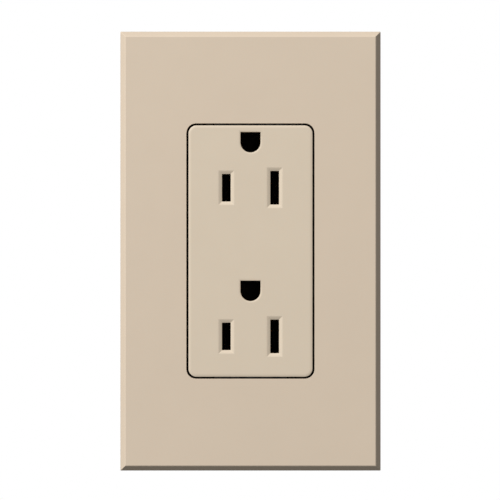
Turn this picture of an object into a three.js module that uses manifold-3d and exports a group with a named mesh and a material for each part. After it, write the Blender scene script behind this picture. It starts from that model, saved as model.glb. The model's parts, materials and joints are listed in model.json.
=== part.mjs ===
// Duplex wall outlet: a decorator-style receptacle on its mounting strap, behind a screwless wall plate.
// Millimetres, +Z up, +X to the right as seen from the room. The front faces -Y.
// The origin is on the wall plane, midway between the two mounting screws: y = 0 is the wall's surface,
// the back of the strap's ears and the back rim of the wall plate.
import * as THREE from 'three';
import { mergeVertices } from 'three/addons/utils/BufferGeometryUtils.js';
import Module from 'manifold-3d';

const wasm = await Module();
wasm.setup();

// ---------------------------------------------------------------- driving dimensions

const PLATE = { width: 68.4, height: 115.4, corner: 0.4, front: -7.6, bevel: 1.35, bevelDepth: 1.6 };
const PLATE_SKIN = 1.7;
const PLATE_WALL = 1.6;
const OPENING = { width: 33.7, height: 67.1, corner: 2.55 };
const MOUTH_EDGE = 0.35; // chamfer round the opening
const COLLAR = { wall: 1.2, back: -3.6 };
const HOOK = { half: 4.5, thickness: 1.1, gap: 0.25, root: -6.2, back: -0.9, z: 30 };
const HOOK_BUMP = { half: 3.5, height: 0.15, front: -2.0, back: -1.3, root: 0.3 };
const COVER_RIB = { x: 18, half: 0.5, front: -6.2, back: -5.0, inner: 34.4 };
const PRY_NOTCH = { half: 4, depth: 1.1 };
const FACE = { width: 32.55, height: 66.0, corner: 2.1, front: -8.0, skin: 2.4, wall: 1.8, edge: 0.35 };

const PLUG_PITCH = 39.05; // between the centres of the two plug faces
const BLADE_DROP = 2.93; // from a plug face's centre down to its blade slots
const GROUND_RISE = 9.02; // and up to its ground hole
const BLADE_X = 6.35;
const SLOT_WIDTH = 2.3;
const HOT_SLOT = 7.25;
const NEUTRAL_SLOT = 8.85;
const LEAD_IN = { width: 0.9, depth: 0.36, corner: 0.15 };
const GROUND_HOLE = { width: 5.28, height: 5.3, edge: 0.4 };
const GUIDE = { halfWidth: 11.2, back: -3.2, below: 6.2, above: 3.4 };

const STRAP = {
  thickness: 1.3, halfLength: 53.3, halfWidth: 9.5, neckStart: 31, earHalfWidth: 16.6, earStart: 40.4,
};
const MOUNTING_Z = 41.67; // mounting screws, 83.3 mm apart
const PLATE_SCREW_Z = 48.42; // adapter screws, 96.8 mm apart
const PIN_CLEARANCE = 0.33; // round the ground pins' holes in the strap
const WEB_HALF = 3.5; // the strip down the strap's middle, with a pad behind each ground hole
const PAD = { width: 15, height: 12.4, corner: 1.5, drop: 0.2 };
const MOUNTING_HOLE = { width: 7.2, height: 4.3, corner: 2.1 };
const RIVET = { drop: 4.7, hole: 1.2, shank: 1.0, head: 1.7, foot: 1.55 };
const EAR = { corner: 1.6, overlap: 2, scoreX: 10.1, scoreHalf: 0.3, scoreDepth: 0.4, holes: [43.4, 50.2] };

const BODY = { width: 32.4, height: 64.8, corner: 1.5, shoulder: 15.5, depth: 24.6, step: 0.5, edge: 0.6 };
const FLANGE = { width: 35.6, height: 68.6, corner: 1.6, thickness: 2.0 };
const BAY = { front: 2.2, back: 15.2, inner: 11.2, nearZ: 4.6, farZ: 19.2, barrier: 1.3, channel: 12.9 };
const CHAMBER = { inner: 3.9, outer: 9.4, half: 4.6, back: 13.4 }; // round each blade's clip
const BUS = { inner: 8.2, outer: 10.1, near: 5.8 }; // the way from a chamber to its terminal
const BLADE_STOP = { half: 1.2, front: 9.9, back: 11.2 };
const GROUND_CHAMBER = { half: 4.6, below: 6.6, above: 2.85, back: 14.2 };
const TAB_CORNER = { x: 11.9, z: 28.9 }; // where the rear body makes room for the strap's ground tab
const RECESS = { width: 18, height: 15, corner: 1.2, depth: 0.6, z: 15 };
const STRIP_GAUGE = { half: 6.5, halfHeight: 1.3, depth: 0.8 };
const TERMINAL = { y: 8.7, z: 12.6, padOuter: 12.6, padInner: 11.4 };
const ASSEMBLY = {
  x: 12.2, z: 23.4, pilot: 1.7, pilotFront: -5.2, boss: 2.6, shank: 1.45, length: 27,
  head: 2.3, headHeight: 1.9, sunk: 2.4,
};
const WIRE_HOLE = { x: 13.4, offset: 3.6, radius: 1.25, mouth: 1.7 };

const ADAPTER = { width: 61.4, height: 107.9, corner: 2.0, front: -3.3, railFront: -4.6, rimBack: -0.3 };
const ADAPTER_OPENING = { width: 34.2, height: 67.6, corner: 2.6 };
const ADAPTER_RIM = { wall: 1.5, clear: 17.4 };
const ADAPTER_RAIL = 1.2;
const ADAPTER_RIB = { x: 24, half: 0.6, height: 0.8 };
const ADAPTER_WINDOW = { width: 3.6, height: 44, corner: 1.4, x: 20.6 };

const SCREW_6 = { radius: 1.75, hole: 2.0 };
const MOUNTING_HEAD = { radius: 3.1, height: 2.0 };
const ADAPTER_HEAD = { radius: 2.85, rim: 0.25, cone: 1.35 };
const SCREW_8 = { radius: 2.08, hole: 2.35 };
const MOUNTING_LENGTH = 25.4;
const ADAPTER_SCREW_LENGTH = 12.7;
const TERMINAL_HEAD = { radius: 4.0, height: 2.1, length: 4.9 };
const GROUND_HEAD = { flange: 3.95, flangeHeight: 0.9, hexagon: 3.55, height: 3.0, length: 7.6 };
const GROUND_TAB = { inner: 12.6, outer: 13.9, y: 7.0, z: 34.6, half: 4.0, corner: 1.4, armZ: [33.4, 38.4] };
const CLAMP_THICKNESS = 1.5;
const CLAMP = { width: 9.4, height: 10.6, corner: 1.0, groove: 1.0, grooveIn: 0.55 };
const BASE_BAR = { front: 11.5, back: 12.7, inner: 4.4, outer: 9.8 };
const BUS_BAR = { inner: 8.6, near: 6.2, far: 18.8 };
const TERMINAL_PAD = { width: 11.2, height: 12.8, corner: 1.2, y: 8.5, z: 12.5 };
const BREAK_OFF = { tab: [5.6, 11.4], tabHalf: 4.2, neck: [7.2, 9.8], neckHalf: 7, hole: 1.1 };
const LEAF_THICKNESS = 0.7;
// each leaf's inner face: its offset from the blade or pin's middle, and its depth
const CLIP_LEAF = [[1.5, -2.7], [1.3, 1.5], [0.55, 5.5], [0.75, 7.4], [1.5, 9.4], [1.5, 12.7]];
const FORK_LEAF = [[2.6, 0.4], [2.6, 2.0], [2.2, 5.6], [2.3, 8.0], [2.9, 11.0]];
const FORK_BASE = { width: 7.4, height: 9.0, corner: 1.0, drop: 1.9, thickness: 0.8 };
const WASHER = { size: 9.6, corner: 1.6, front: 2.5, back: 3.4 };

const ROUND = 16; // sides of a hole or a shank
const SMALL = 1; // steps in each eighth of a small corner
const FINE = 3; // and of a large one

const OUTLETS = { upper: PLUG_PITCH / 2, lower: -PLUG_PITCH / 2 };
const SIDES = { hot: -1, neutral: 1 };
const ENDS = { top: 1, bottom: -1 };

// ---------------------------------------------------------------- materials

const material = (color, roughness, metalness = 0) =>
  new THREE.MeshStandardMaterial({ color, roughness, metalness });

const PLASTIC = { color: 0xd0bfa9, roughness: 0.55 };
const finishes = {
  cover: () => material(PLASTIC.color, PLASTIC.roughness),
  face: () => material(0xd2c3ae, 0.5),
  adapter: () => material(0xc9bba6, 0.65),
  darkPlastic: () => material(0x35342f, 0.6),
  galvanised: () => material(0xb4b7b8, 0.42, 1),
  brass: () => material(0xc49a4c, 0.35, 1),
  nickel: () => material(0xc6c6c2, 0.3, 1),
  green: () => material(0x2f7d46, 0.4, 0.6),
  zinc: () => material(0xc0c2c4, 0.38, 1),
  fibre: () => material(0xb98a5a, 0.85),
};

// ---------------------------------------------------------------- solids

// A closed three.js geometry as a solid that can be cut and joined.
function solid(geometry) {
  const bare = geometry.index ? geometry.toNonIndexed() : geometry;
  bare.deleteAttribute('normal');
  bare.deleteAttribute('uv');
  const merged = mergeVertices(bare, 1e-4);
  return new wasm.Manifold(new wasm.Mesh({
    numProp: 3,
    vertProperties: new Float32Array(merged.attributes.position.array),
    triVerts: new Uint32Array(merged.index.array),
  }));
}

function meshOf(name, body, finish) {
  const { numProp, vertProperties, triVerts } = body.asOriginal().simplify(1e-3).getMesh();
  const positions = new Float32Array((vertProperties.length / numProp) * 3);
  for (let i = 0; i < positions.length / 3; i += 1) {
    positions.set(vertProperties.subarray(i * numProp, i * numProp + 3), i * 3);
  }
  const indexed = new THREE.BufferGeometry();
  indexed.setAttribute('position', new THREE.BufferAttribute(positions, 3));
  indexed.setIndex(new THREE.BufferAttribute(triVerts, 1));
  const geometry = indexed.toNonIndexed();
  geometry.computeVertexNormals();
  const mesh = new THREE.Mesh(geometry, finish());
  mesh.name = name;
  return mesh;
}

const join = (bodies) => bodies.reduce((whole, body) => whole.add(body));
const cut = (body, cutters) => cutters.reduce((rest, cutter) => rest.subtract(cutter), body);

// A box given by its lowest and highest value along each axis, in either order.
function block([x0, x1], [y0, y1], [z0, z1]) {
  const size = [Math.abs(x1 - x0), Math.abs(y1 - y0), Math.abs(z1 - z0)];
  const geometry = new THREE.BoxGeometry(...size);
  geometry.translate((x0 + x1) / 2, (y0 + y1) / 2, (z0 + z1) / 2);
  return solid(geometry);
}

// Where a solid's own axes point: each entry is the world direction of local X, Y and Z.
const FRONT_VIEW = [[1, 0, 0], [0, 0, 1], [0, -1, 0]]; // drawn in X and Z, extruded towards the front
const SIDE_VIEW = [[0, 1, 0], [0, 0, 1], [1, 0, 0]]; // drawn in Y and Z, extruded along X
const TOP_VIEW = [[1, 0, 0], [0, 1, 0], [0, 0, 1]]; // drawn in X and Y, extruded along Z

const basis = (view) =>
  new THREE.Matrix4().makeBasis(...view.map((axis) => new THREE.Vector3(...axis)));

// A flat outline, with any holes that it has, extruded between two places along its view's depth.
function prism(outline, view, from, to, curveSegments = FINE) {
  const geometry = new THREE.ExtrudeGeometry(outline, {
    depth: Math.abs(to - from), bevelEnabled: false, curveSegments,
  });
  geometry.applyMatrix4(basis(view));
  const depthAxis = new THREE.Vector3(...view[2]);
  const start = depthAxis.x + depthAxis.y + depthAxis.z < 0 ? Math.max(from, to) : Math.min(from, to);
  geometry.translate(...depthAxis.toArray().map((part) => Math.abs(part) * start));
  return solid(geometry);
}

// A turned piece: its profile is a list of [radius, place along the axis], from the axis to the axis.
// direction is the world direction of the profile's axis, and centre is where the axis passes.
function turned(profile, direction, centre, sides = ROUND) {
  const points = profile.map(([radius, along]) => new THREE.Vector2(radius, along));
  const geometry = new THREE.LatheGeometry(points, sides);
  const turn = new THREE.Quaternion().setFromUnitVectors(
    new THREE.Vector3(0, 1, 0), new THREE.Vector3(...direction),
  );
  geometry.applyQuaternion(turn);
  geometry.translate(...centre);
  return solid(geometry);
}

const rod = (radius, from, to, direction, centre, sides = ROUND) =>
  turned([[0, from], [radius, from], [radius, to], [0, to]], direction, centre, sides);

function polygon(points) {
  return new THREE.Shape(points.map(([a, b]) => new THREE.Vector2(a, b)));
}

function roundedRectangle(width, height, corner, centre = [0, 0]) {
  const [cx, cy] = centre;
  const right = cx + width / 2 - corner;
  const left = cx - width / 2 + corner;
  const top = cy + height / 2 - corner;
  const bottom = cy - height / 2 + corner;
  const outline = new THREE.Shape();
  outline.absarc(right, bottom, corner, -Math.PI / 2, 0);
  outline.absarc(right, top, corner, 0, Math.PI / 2);
  outline.absarc(left, top, corner, Math.PI / 2, Math.PI);
  outline.absarc(left, bottom, corner, Math.PI, Math.PI * 1.5);
  outline.closePath();
  return outline;
}

// A ground hole's outline: flat at the top and half round at the bottom, grown by margin all round.
function groundOutline(z, margin = 0) {
  const radius = GROUND_HOLE.width / 2 + margin;
  const top = z + GROUND_HOLE.height / 2 + margin;
  const middle = z - GROUND_HOLE.height / 2 + GROUND_HOLE.width / 2;
  const outline = new THREE.Shape();
  outline.moveTo(radius, top);
  outline.lineTo(-radius, top);
  outline.absarc(0, middle, radius, Math.PI, Math.PI * 2);
  outline.closePath();
  return outline;
}

// A solid through outlines in front view with the same number of points, from the back one to the front one.
function loft(sections, divisions = SMALL) {
  const rings = sections.map(([y, outline]) => ({ y, points: ringOf(outline, divisions) }));
  const count = rings[0].points.length;
  const corner = (ring, i) => [ring.points[i % count].x, ring.y, ring.points[i % count].y];
  const triangles = [];
  for (let k = 0; k + 1 < rings.length; k += 1) {
    const [back, front] = [rings[k], rings[k + 1]];
    for (let i = 0; i < count; i += 1) {
      triangles.push(corner(back, i), corner(back, i + 1), corner(front, i + 1));
      triangles.push(corner(back, i), corner(front, i + 1), corner(front, i));
    }
  }
  const [first, last] = [rings[0], rings[rings.length - 1]];
  for (const [a, b, c] of THREE.ShapeUtils.triangulateShape(last.points, [])) {
    triangles.push(corner(last, a), corner(last, b), corner(last, c));
  }
  for (const [a, b, c] of THREE.ShapeUtils.triangulateShape(first.points, [])) {
    triangles.push(corner(first, c), corner(first, b), corner(first, a));
  }
  const geometry = new THREE.BufferGeometry();
  geometry.setAttribute('position', new THREE.Float32BufferAttribute(triangles.flat(), 3));
  return solid(geometry);
}

// The points of a closed outline, counter-clockwise, with no point given twice.
function ringOf(outline, divisions) {
  const points = outline.getPoints(divisions);
  const distinct = points.filter((p, i) => p.distanceTo(points[(i + 1) % points.length]) > 1e-6);
  return THREE.ShapeUtils.isClockWise(distinct) ? distinct.reverse() : distinct;
}

// ---------------------------------------------------------------- places of the blades and pins

const outletFeatures = Object.values(OUTLETS).map((z) => ({
  bladeZ: z - BLADE_DROP,
  groundZ: z + GROUND_RISE,
  slots: [
    { x: -BLADE_X, height: HOT_SLOT },
    { x: BLADE_X, height: NEUTRAL_SLOT },
  ],
}));

// ---------------------------------------------------------------- wall plate

// A hook's leaf and its bump, as pairs of ranges: across the adapter's edge, in depth, and from its middle.
function hookBlocks(adapterHalf) {
  const inner = adapterHalf + HOOK.gap;
  return [
    [[inner, inner + HOOK.thickness], [HOOK.root, HOOK.back], HOOK.half],
    [[inner - HOOK_BUMP.height, inner + HOOK_BUMP.root], [HOOK_BUMP.front, HOOK_BUMP.back], HOOK_BUMP.half],
  ];
}

function sideHook(side, z) {
  return join(hookBlocks(ADAPTER.width / 2).map(([across, depth, half]) =>
    block(across.map((x) => side * x), depth, [z - half, z + half])));
}

function endHook(end) {
  return join(hookBlocks(ADAPTER.height / 2).map(([across, depth, half]) =>
    block([-half, half], depth, across.map((z) => end * z))));
}

function coverPlate() {
  const { width, height, corner, front, bevel, bevelDepth } = PLATE;
  const outline = roundedRectangle(width, height, corner);
  const frontOutline = roundedRectangle(width - 2 * bevel, height - 2 * bevel, corner);
  const shell = loft([[0, outline], [front + bevelDepth, outline], [front, frontOutline]]);
  const inside = roundedRectangle(width - 2 * PLATE_WALL, height - 2 * PLATE_WALL, 1.0);
  const cavity = prism(inside, FRONT_VIEW, 1, front + PLATE_SKIN, SMALL);
  const collarOutline = roundedRectangle(
    OPENING.width + 2 * COLLAR.wall, OPENING.height + 2 * COLLAR.wall, OPENING.corner + COLLAR.wall,
  );
  const collar = prism(collarOutline, FRONT_VIEW, COLLAR.back, front + PLATE_SKIN - 0.3);
  const opening = roundedRectangle(OPENING.width, OPENING.height, OPENING.corner);
  const wide = roundedRectangle(
    OPENING.width + 2 * MOUTH_EDGE, OPENING.height + 2 * MOUTH_EDGE, OPENING.corner + MOUTH_EDGE,
  );
  const mouth = loft([[front + MOUTH_EDGE, opening], [front, wide], [front - 1, wide]], FINE);
  const hooks = [];
  for (const side of Object.values(SIDES)) {
    for (const end of Object.values(ENDS)) hooks.push(sideHook(side, end * HOOK.z));
  }
  for (const end of Object.values(ENDS)) hooks.push(endHook(end));
  // stiffening ribs between the collar and the skirt, on the back of the front wall
  const ribs = [];
  for (const end of Object.values(ENDS)) {
    for (const x of [-COVER_RIB.x, COVER_RIB.x]) {
      ribs.push(block([x - COVER_RIB.half, x + COVER_RIB.half], [COVER_RIB.front, COVER_RIB.back],
        [end * COVER_RIB.inner, end * (height / 2 - 1)]));
    }
  }
  const pryNotch = block([-PRY_NOTCH.half, PRY_NOTCH.half], [-PRY_NOTCH.depth, 1],
    [-height / 2 - 1, -height / 2 + PLATE_WALL + 0.6]);
  return cut(join([shell.subtract(cavity), collar, ...hooks, ...ribs]), [
    prism(opening, FRONT_VIEW, 1, front - 1),
    mouth,
    pryNotch,
  ]);
}

// ---------------------------------------------------------------- adapter plate

function adapterPlate() {
  const { width, height, corner, front, railFront, rimBack } = ADAPTER;
  const strapFront = -STRAP.thickness;
  const outline = roundedRectangle(width, height, corner);
  const sheet = prism(outline, FRONT_VIEW, strapFront, front, SMALL);
  const railInside = roundedRectangle(width - 2 * ADAPTER_RAIL, height - 2 * ADAPTER_RAIL, corner - 1);
  const rail = prism(outline, FRONT_VIEW, front + 0.3, railFront, SMALL)
    .subtract(prism(railInside, FRONT_VIEW, front + 1, railFront - 1, SMALL));
  const rimInside = roundedRectangle(width - 2 * ADAPTER_RIM.wall, height - 2 * ADAPTER_RIM.wall, corner - 1);
  const rim = cut(prism(outline, FRONT_VIEW, rimBack, strapFront - 0.3, SMALL), [
    prism(rimInside, FRONT_VIEW, rimBack + 1, strapFront - 1, SMALL),
    block([-ADAPTER_RIM.clear, ADAPTER_RIM.clear], [rimBack - 1.4, 1], [-height, height]),
  ]);
  const ribs = [];
  for (const x of [-ADAPTER_RIB.x, ADAPTER_RIB.x]) {
    ribs.push(block([x - ADAPTER_RIB.half, x + ADAPTER_RIB.half], [front - ADAPTER_RIB.height, front + 0.3],
      [-height / 2 + 1, height / 2 - 1]));
  }
  const cutters = [
    prism(roundedRectangle(ADAPTER_OPENING.width, ADAPTER_OPENING.height, ADAPTER_OPENING.corner),
      FRONT_VIEW, 1, -9),
  ];
  for (const end of Object.values(ENDS)) {
    // a notch in the opening clears the mounting screw's head
    cutters.push(block([-4.4, 4.4], [-9, 1], [end * 30, end * (MOUNTING_Z + MOUNTING_HEAD.radius + 0.25)]));
    const bore = SCREW_6.hole + 0.1;
    const sink = ADAPTER_HEAD.radius + 0.25;
    cutters.push(turned(
      [[0, -9], [sink, -9], [sink, front + 0.3], [bore, front + 1.4], [bore, 1], [0, 1]],
      [0, 1, 0], [0, 0, end * PLATE_SCREW_Z],
    ));
  }
  // windows beside the device save material
  for (const side of Object.values(SIDES)) {
    const { width: wide, height: tall, corner: round, x } = ADAPTER_WINDOW;
    cutters.push(prism(roundedRectangle(wide, tall, round, [side * x, 0]), FRONT_VIEW, 1, -9, SMALL));
  }
  return cut(join([sheet, rail, rim, ...ribs]), cutters);
}

// ---------------------------------------------------------------- receptacle

function slotCutters(x, z, height) {
  const { front } = FACE;
  const { width: border, depth } = LEAD_IN;
  const slot = roundedRectangle(SLOT_WIDTH, height, LEAD_IN.corner, [x, z]);
  const mouth = roundedRectangle(SLOT_WIDTH + 2 * border, height + 2 * border, LEAD_IN.corner, [x, z]);
  return [
    block([x - SLOT_WIDTH / 2, x + SLOT_WIDTH / 2], [front - 1, 1], [z - height / 2, z + height / 2]),
    loft([[front + depth, slot], [front, mouth], [front - 0.3, mouth]]),
  ];
}

function receptacleFace() {
  const { width, height, corner, front, skin, wall, edge } = FACE;
  const outline = roundedRectangle(width, height, corner);
  const frontOutline = roundedRectangle(width - 2 * edge, height - 2 * edge, corner - edge);
  const shell = loft([[0, outline], [front + edge, outline], [front, frontOutline]], FINE);
  const inside = roundedRectangle(width - 2 * wall, height - 2 * wall, corner - 1);
  const cavity = prism(inside, FRONT_VIEW, 1, front + skin, SMALL);
  const additions = [];
  const cutters = [];
  for (const { bladeZ, groundZ, slots } of outletFeatures) {
    // a thicker block behind each plug face guides the blades to their clips
    additions.push(block([-GUIDE.halfWidth, GUIDE.halfWidth], [front + skin - 0.4, GUIDE.back],
      [bladeZ - GUIDE.below, groundZ + GUIDE.above]));
    for (const { x, height: slotHeight } of slots) cutters.push(...slotCutters(x, bladeZ, slotHeight));
    cutters.push(prism(groundOutline(groundZ), FRONT_VIEW, 1, front - 1));
    cutters.push(loft([
      [front + GROUND_HOLE.edge, groundOutline(groundZ)],
      [front, groundOutline(groundZ, GROUND_HOLE.edge)],
      [front - 0.3, groundOutline(groundZ, GROUND_HOLE.edge)],
    ], FINE));
  }
  for (const side of Object.values(SIDES)) {
    for (const end of Object.values(ENDS)) {
      const centre = [side * ASSEMBLY.x, 0, end * ASSEMBLY.z];
      additions.push(rod(ASSEMBLY.boss, front + skin - 0.4, 0, [0, 1, 0], centre));
      cutters.push(rod(ASSEMBLY.pilot, ASSEMBLY.pilotFront, 1, [0, 1, 0], centre));
    }
  }
  // the strap leaves the moulding through a notch at each end
  const strapNotch = block([-STRAP.halfWidth - 0.3, STRAP.halfWidth + 0.3], [-STRAP.thickness, 1], [-40, 40]);
  return cut(join([shell.subtract(cavity), ...additions]), [...cutters, strapNotch]);
}

function rearBody() {
  const { width, height, corner, shoulder, depth, step, edge } = BODY;
  const outline = (inset) => roundedRectangle(width - 2 * inset, height - 2 * inset, corner);
  const shell = loft([
    [depth, outline(step + edge)], [depth - edge, outline(step)], [shoulder + 0.8, outline(step)],
    [shoulder, outline(0)], [0, outline(0)],
  ]);
  // the flange closes the gap between the face and the plates round it
  const flange = prism(roundedRectangle(FLANGE.width, FLANGE.height, FLANGE.corner), FRONT_VIEW,
    FLANGE.thickness, 0, SMALL);
  const cutters = [];
  const additions = [];
  for (const side of Object.values(SIDES)) {
    // terminal bays, open at the side, with the contact strip's channel open towards the front
    cutters.push(block([side * BAY.inner, side * width], [BAY.front, BAY.back], [-BAY.farZ, BAY.farZ]));
    cutters.push(block([side * BAY.inner, side * BAY.channel], [-1, BAY.back - 0.6], [-BAY.farZ, BAY.farZ]));
    for (const { bladeZ } of outletFeatures) {
      const towards = Math.sign(bladeZ);
      const chamberEnds = [bladeZ - CHAMBER.half, bladeZ + CHAMBER.half];
      cutters.push(block([side * CHAMBER.inner, side * CHAMBER.outer], [-1, CHAMBER.back], chamberEnds));
      cutters.push(block([side * BUS.inner, side * BUS.outer], [-1, CHAMBER.back],
        [towards * BUS.near, bladeZ + towards * CHAMBER.half]));
      cutters.push(block([side * BUS.inner, side * 12], [-1, CHAMBER.back],
        [towards * BUS.near, towards * BAY.farZ]));
      // a bar across the chamber stops the blade short of the contact's base
      const middle = side * BLADE_X;
      additions.push(block([middle - BLADE_STOP.half, middle + BLADE_STOP.half],
        [BLADE_STOP.front, BLADE_STOP.back], [chamberEnds[0] - 0.4, chamberEnds[1] + 0.4]));
    }
    for (const end of Object.values(ENDS)) {
      const centre = [side * ASSEMBLY.x, 0, end * ASSEMBLY.z];
      cutters.push(rod(ASSEMBLY.pilot, -1, depth + 1, [0, 1, 0], centre));
      cutters.push(rod(ASSEMBLY.head + 0.3, depth - ASSEMBLY.sunk, depth + 1, [0, 1, 0], centre));
      // two back-wire holes for each terminal
      const { x, offset, radius, mouth } = WIRE_HOLE;
      for (const shift of [-offset, offset]) {
        const wire = [side * x, 0, end * TERMINAL.z + shift];
        const profile = [
          [0, BAY.back - 1], [radius, BAY.back - 1], [radius, depth - 0.6], [mouth, depth + 0.1],
          [0, depth + 0.1],
        ];
        cutters.push(turned(profile, [0, 1, 0], wire));
      }
      // barriers each side of the break-off tab
      additions.push(block([side * BAY.channel, side * width / 2], [BAY.front - 0.4, BAY.back + 0.2],
        [end * BAY.nearZ, end * (BAY.nearZ + BAY.barrier)]));
    }
  }
  for (const { groundZ } of outletFeatures) {
    const { half, below, above, back } = GROUND_CHAMBER;
    cutters.push(block([-half, half], [-1, back], [groundZ - below, groundZ + above]));
  }
  // corner cut away for the strap's ground tab, with a notch in the flange for its arm
  const { inner, outer, armZ } = GROUND_TAB;
  cutters.push(block([TAB_CORNER.x, width], [FLANGE.thickness, depth + 1], [TAB_CORNER.z, height]));
  cutters.push(block([inner - 0.3, outer + 0.3], [-1, depth], [armZ[0] - 0.3, height]));
  cutters.push(block([-STRIP_GAUGE.half, STRIP_GAUGE.half], [depth - STRIP_GAUGE.depth, depth + 1],
    [-STRIP_GAUGE.halfHeight, STRIP_GAUGE.halfHeight]));
  for (const end of Object.values(ENDS)) {
    const recess = roundedRectangle(RECESS.width, RECESS.height, RECESS.corner, [0, end * RECESS.z]);
    cutters.push(prism(recess, FRONT_VIEW, depth + 1, depth - RECESS.depth, SMALL));
  }
  return join([cut(shell.add(flange), cutters), ...additions]);
}

function mountingStrap() {
  const front = -STRAP.thickness;
  const sheet = (outline, segments) => prism(outline, FRONT_VIEW, 0, front, segments);
  const parts = [block([-WEB_HALF, WEB_HALF], [0, front], [-STRAP.earStart, STRAP.earStart])];
  for (const { groundZ } of outletFeatures) {
    parts.push(sheet(roundedRectangle(PAD.width, PAD.height, PAD.corner, [0, groundZ - PAD.drop]), SMALL));
  }
  const { halfLength, halfWidth, earHalfWidth, earStart, neckStart } = STRAP;
  for (const end of Object.values(ENDS)) {
    const middle = end * (neckStart + halfLength) / 2;
    parts.push(sheet(roundedRectangle(2 * halfWidth, halfLength - neckStart, 0.8, [0, middle]), SMALL));
    for (const side of Object.values(SIDES)) {
      const ear = roundedRectangle(
        earHalfWidth - halfWidth + EAR.overlap, halfLength - earStart, EAR.corner,
        [side * (earHalfWidth + halfWidth - EAR.overlap) / 2, end * (halfLength + earStart) / 2],
      );
      parts.push(sheet(ear, SMALL));
    }
  }
  const { inner, outer, y, z, half, corner, armZ } = GROUND_TAB;
  parts.push(block([halfWidth - 1, outer], [0, front], armZ));
  parts.push(block([inner, outer], [front, y - half + 0.6], armZ));
  parts.push(prism(roundedRectangle(2 * half, 2 * half, corner, [y, z]), SIDE_VIEW, inner, outer, SMALL));
  const cutters = [rod(SCREW_6.hole, 0, 20, [1, 0, 0], [0, y, z])];
  for (const { groundZ } of outletFeatures) {
    cutters.push(prism(groundOutline(groundZ, PIN_CLEARANCE), FRONT_VIEW, 3, -3));
    cutters.push(rod(RIVET.hole, -3, 3, [0, 1, 0], [0, 0, groundZ - RIVET.drop]));
  }
  for (const end of Object.values(ENDS)) {
    const hole = roundedRectangle(
      MOUNTING_HOLE.width, MOUNTING_HOLE.height, MOUNTING_HOLE.corner, [0, end * MOUNTING_Z],
    );
    cutters.push(prism(hole, FRONT_VIEW, 3, -3));
    cutters.push(rod(SCREW_6.hole, -3, 3, [0, 1, 0], [0, 0, end * PLATE_SCREW_Z]));
    for (const side of Object.values(SIDES)) {
      // score line and punched holes where a plaster ear breaks off
      const x = side * EAR.scoreX;
      cutters.push(block([x - EAR.scoreHalf, x + EAR.scoreHalf], [front - 1, front + EAR.scoreDepth],
        [end * (earStart - 1), end * (halfLength + 1)]));
      for (const holeZ of EAR.holes) {
        cutters.push(prism(roundedRectangle(1.6, 3.0, 0.7, [x, end * holeZ]), FRONT_VIEW, 3, -3, SMALL));
      }
    }
  }
  return cut(join(parts), cutters);
}

// ---------------------------------------------------------------- contacts

// One sprung leaf of a clip or a fork, bent as its profile says, on one side of the blade or pin.
function sprungLeaf(profile, x, z, side, halfHeight) {
  const outer = profile.map(([offset, y]) => [offset + LEAF_THICKNESS, y]).reverse();
  const outline = [...profile, ...outer].map(([offset, y]) => [x + side * offset, y]);
  return prism(polygon(outline), TOP_VIEW, z - halfHeight, z + halfHeight);
}

// A line contact: a double-wipe clip for each outlet, joined by a bus to the two terminal pads.
function lineContact(side, slotHeight) {
  const { padInner, padOuter, y, z } = TERMINAL;
  const halfHeight = slotHeight / 2 - 0.1;
  const baseDepth = [BASE_BAR.front, BASE_BAR.back];
  const parts = [];
  for (const { bladeZ } of outletFeatures) {
    const towards = Math.sign(bladeZ);
    for (const leafSide of [-1, 1]) {
      parts.push(sprungLeaf(CLIP_LEAF, side * BLADE_X, bladeZ, leafSide, halfHeight));
    }
    const far = bladeZ + towards * halfHeight;
    const near = towards * BUS_BAR.near;
    const bar = [side * BASE_BAR.inner, side * BASE_BAR.outer];
    parts.push(block(bar, baseDepth, [bladeZ - halfHeight, bladeZ + halfHeight]));
    parts.push(block([side * BUS_BAR.inner, side * BASE_BAR.outer], baseDepth, [near, far]));
    parts.push(block([side * BUS_BAR.inner, side * padOuter], baseDepth, [near, towards * BUS_BAR.far]));
    const { width, height, corner } = TERMINAL_PAD;
    const pad = roundedRectangle(width, height, corner, [TERMINAL_PAD.y, towards * TERMINAL_PAD.z]);
    parts.push(prism(pad, SIDE_VIEW, side * padInner, side * padOuter, SMALL));
  }
  // the break-off tab between the two terminals, narrowed at each end, with a hole for a screwdriver's tip
  const { tab, tabHalf, neck, neckHalf, hole } = BREAK_OFF;
  const sheet = [side * padInner, side * padOuter];
  parts.push(block(sheet, tab, [-tabHalf, tabHalf]));
  parts.push(block(sheet, neck, [-neckHalf, neckHalf]));
  const cutters = [rod(hole, 0, 20, [side, 0, 0], [0, TERMINAL_PAD.y, 0])];
  for (const end of Object.values(ENDS)) {
    cutters.push(rod(SCREW_8.hole, 0, 20, [side, 0, 0], [0, y, end * z]));
  }
  return cut(join(parts), cutters);
}

// A ground fork: two leaves on a base that is open round the pin and riveted to the strap.
function groundContact(groundZ) {
  const { width, height, corner, drop, thickness } = FORK_BASE;
  const outline = roundedRectangle(width, height, corner, [0, groundZ - drop]);
  const base = prism(outline, FRONT_VIEW, thickness, 0, SMALL);
  const leaves = [-1, 1].map((side) => sprungLeaf(FORK_LEAF, 0, groundZ, side, 2.0));
  const half = GROUND_HOLE.width / 2;
  return cut(join([base, ...leaves]), [
    prism(groundOutline(groundZ), FRONT_VIEW, thickness + 1, -1),
    block([-half, half], [-1, thickness + 1], [groundZ, groundZ + height]),
    rod(RIVET.hole, -1, 2, [0, 1, 0], [0, 0, groundZ - RIVET.drop]),
  ]);
}

function groundRivet(groundZ) {
  const { shank, head, foot } = RIVET;
  const profile = [
    [0, -1.95], [head - 0.6, -1.95], [head, -1.6], [head, -1.3], [shank, -1.3],
    [shank, 0.8], [foot, 0.8], [foot, 1.1], [foot - 0.5, 1.4], [0, 1.4],
  ];
  return turned(profile, [0, 1, 0], [0, 0, groundZ - RIVET.drop]);
}

// ---------------------------------------------------------------- screws, clamps and washers

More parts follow.
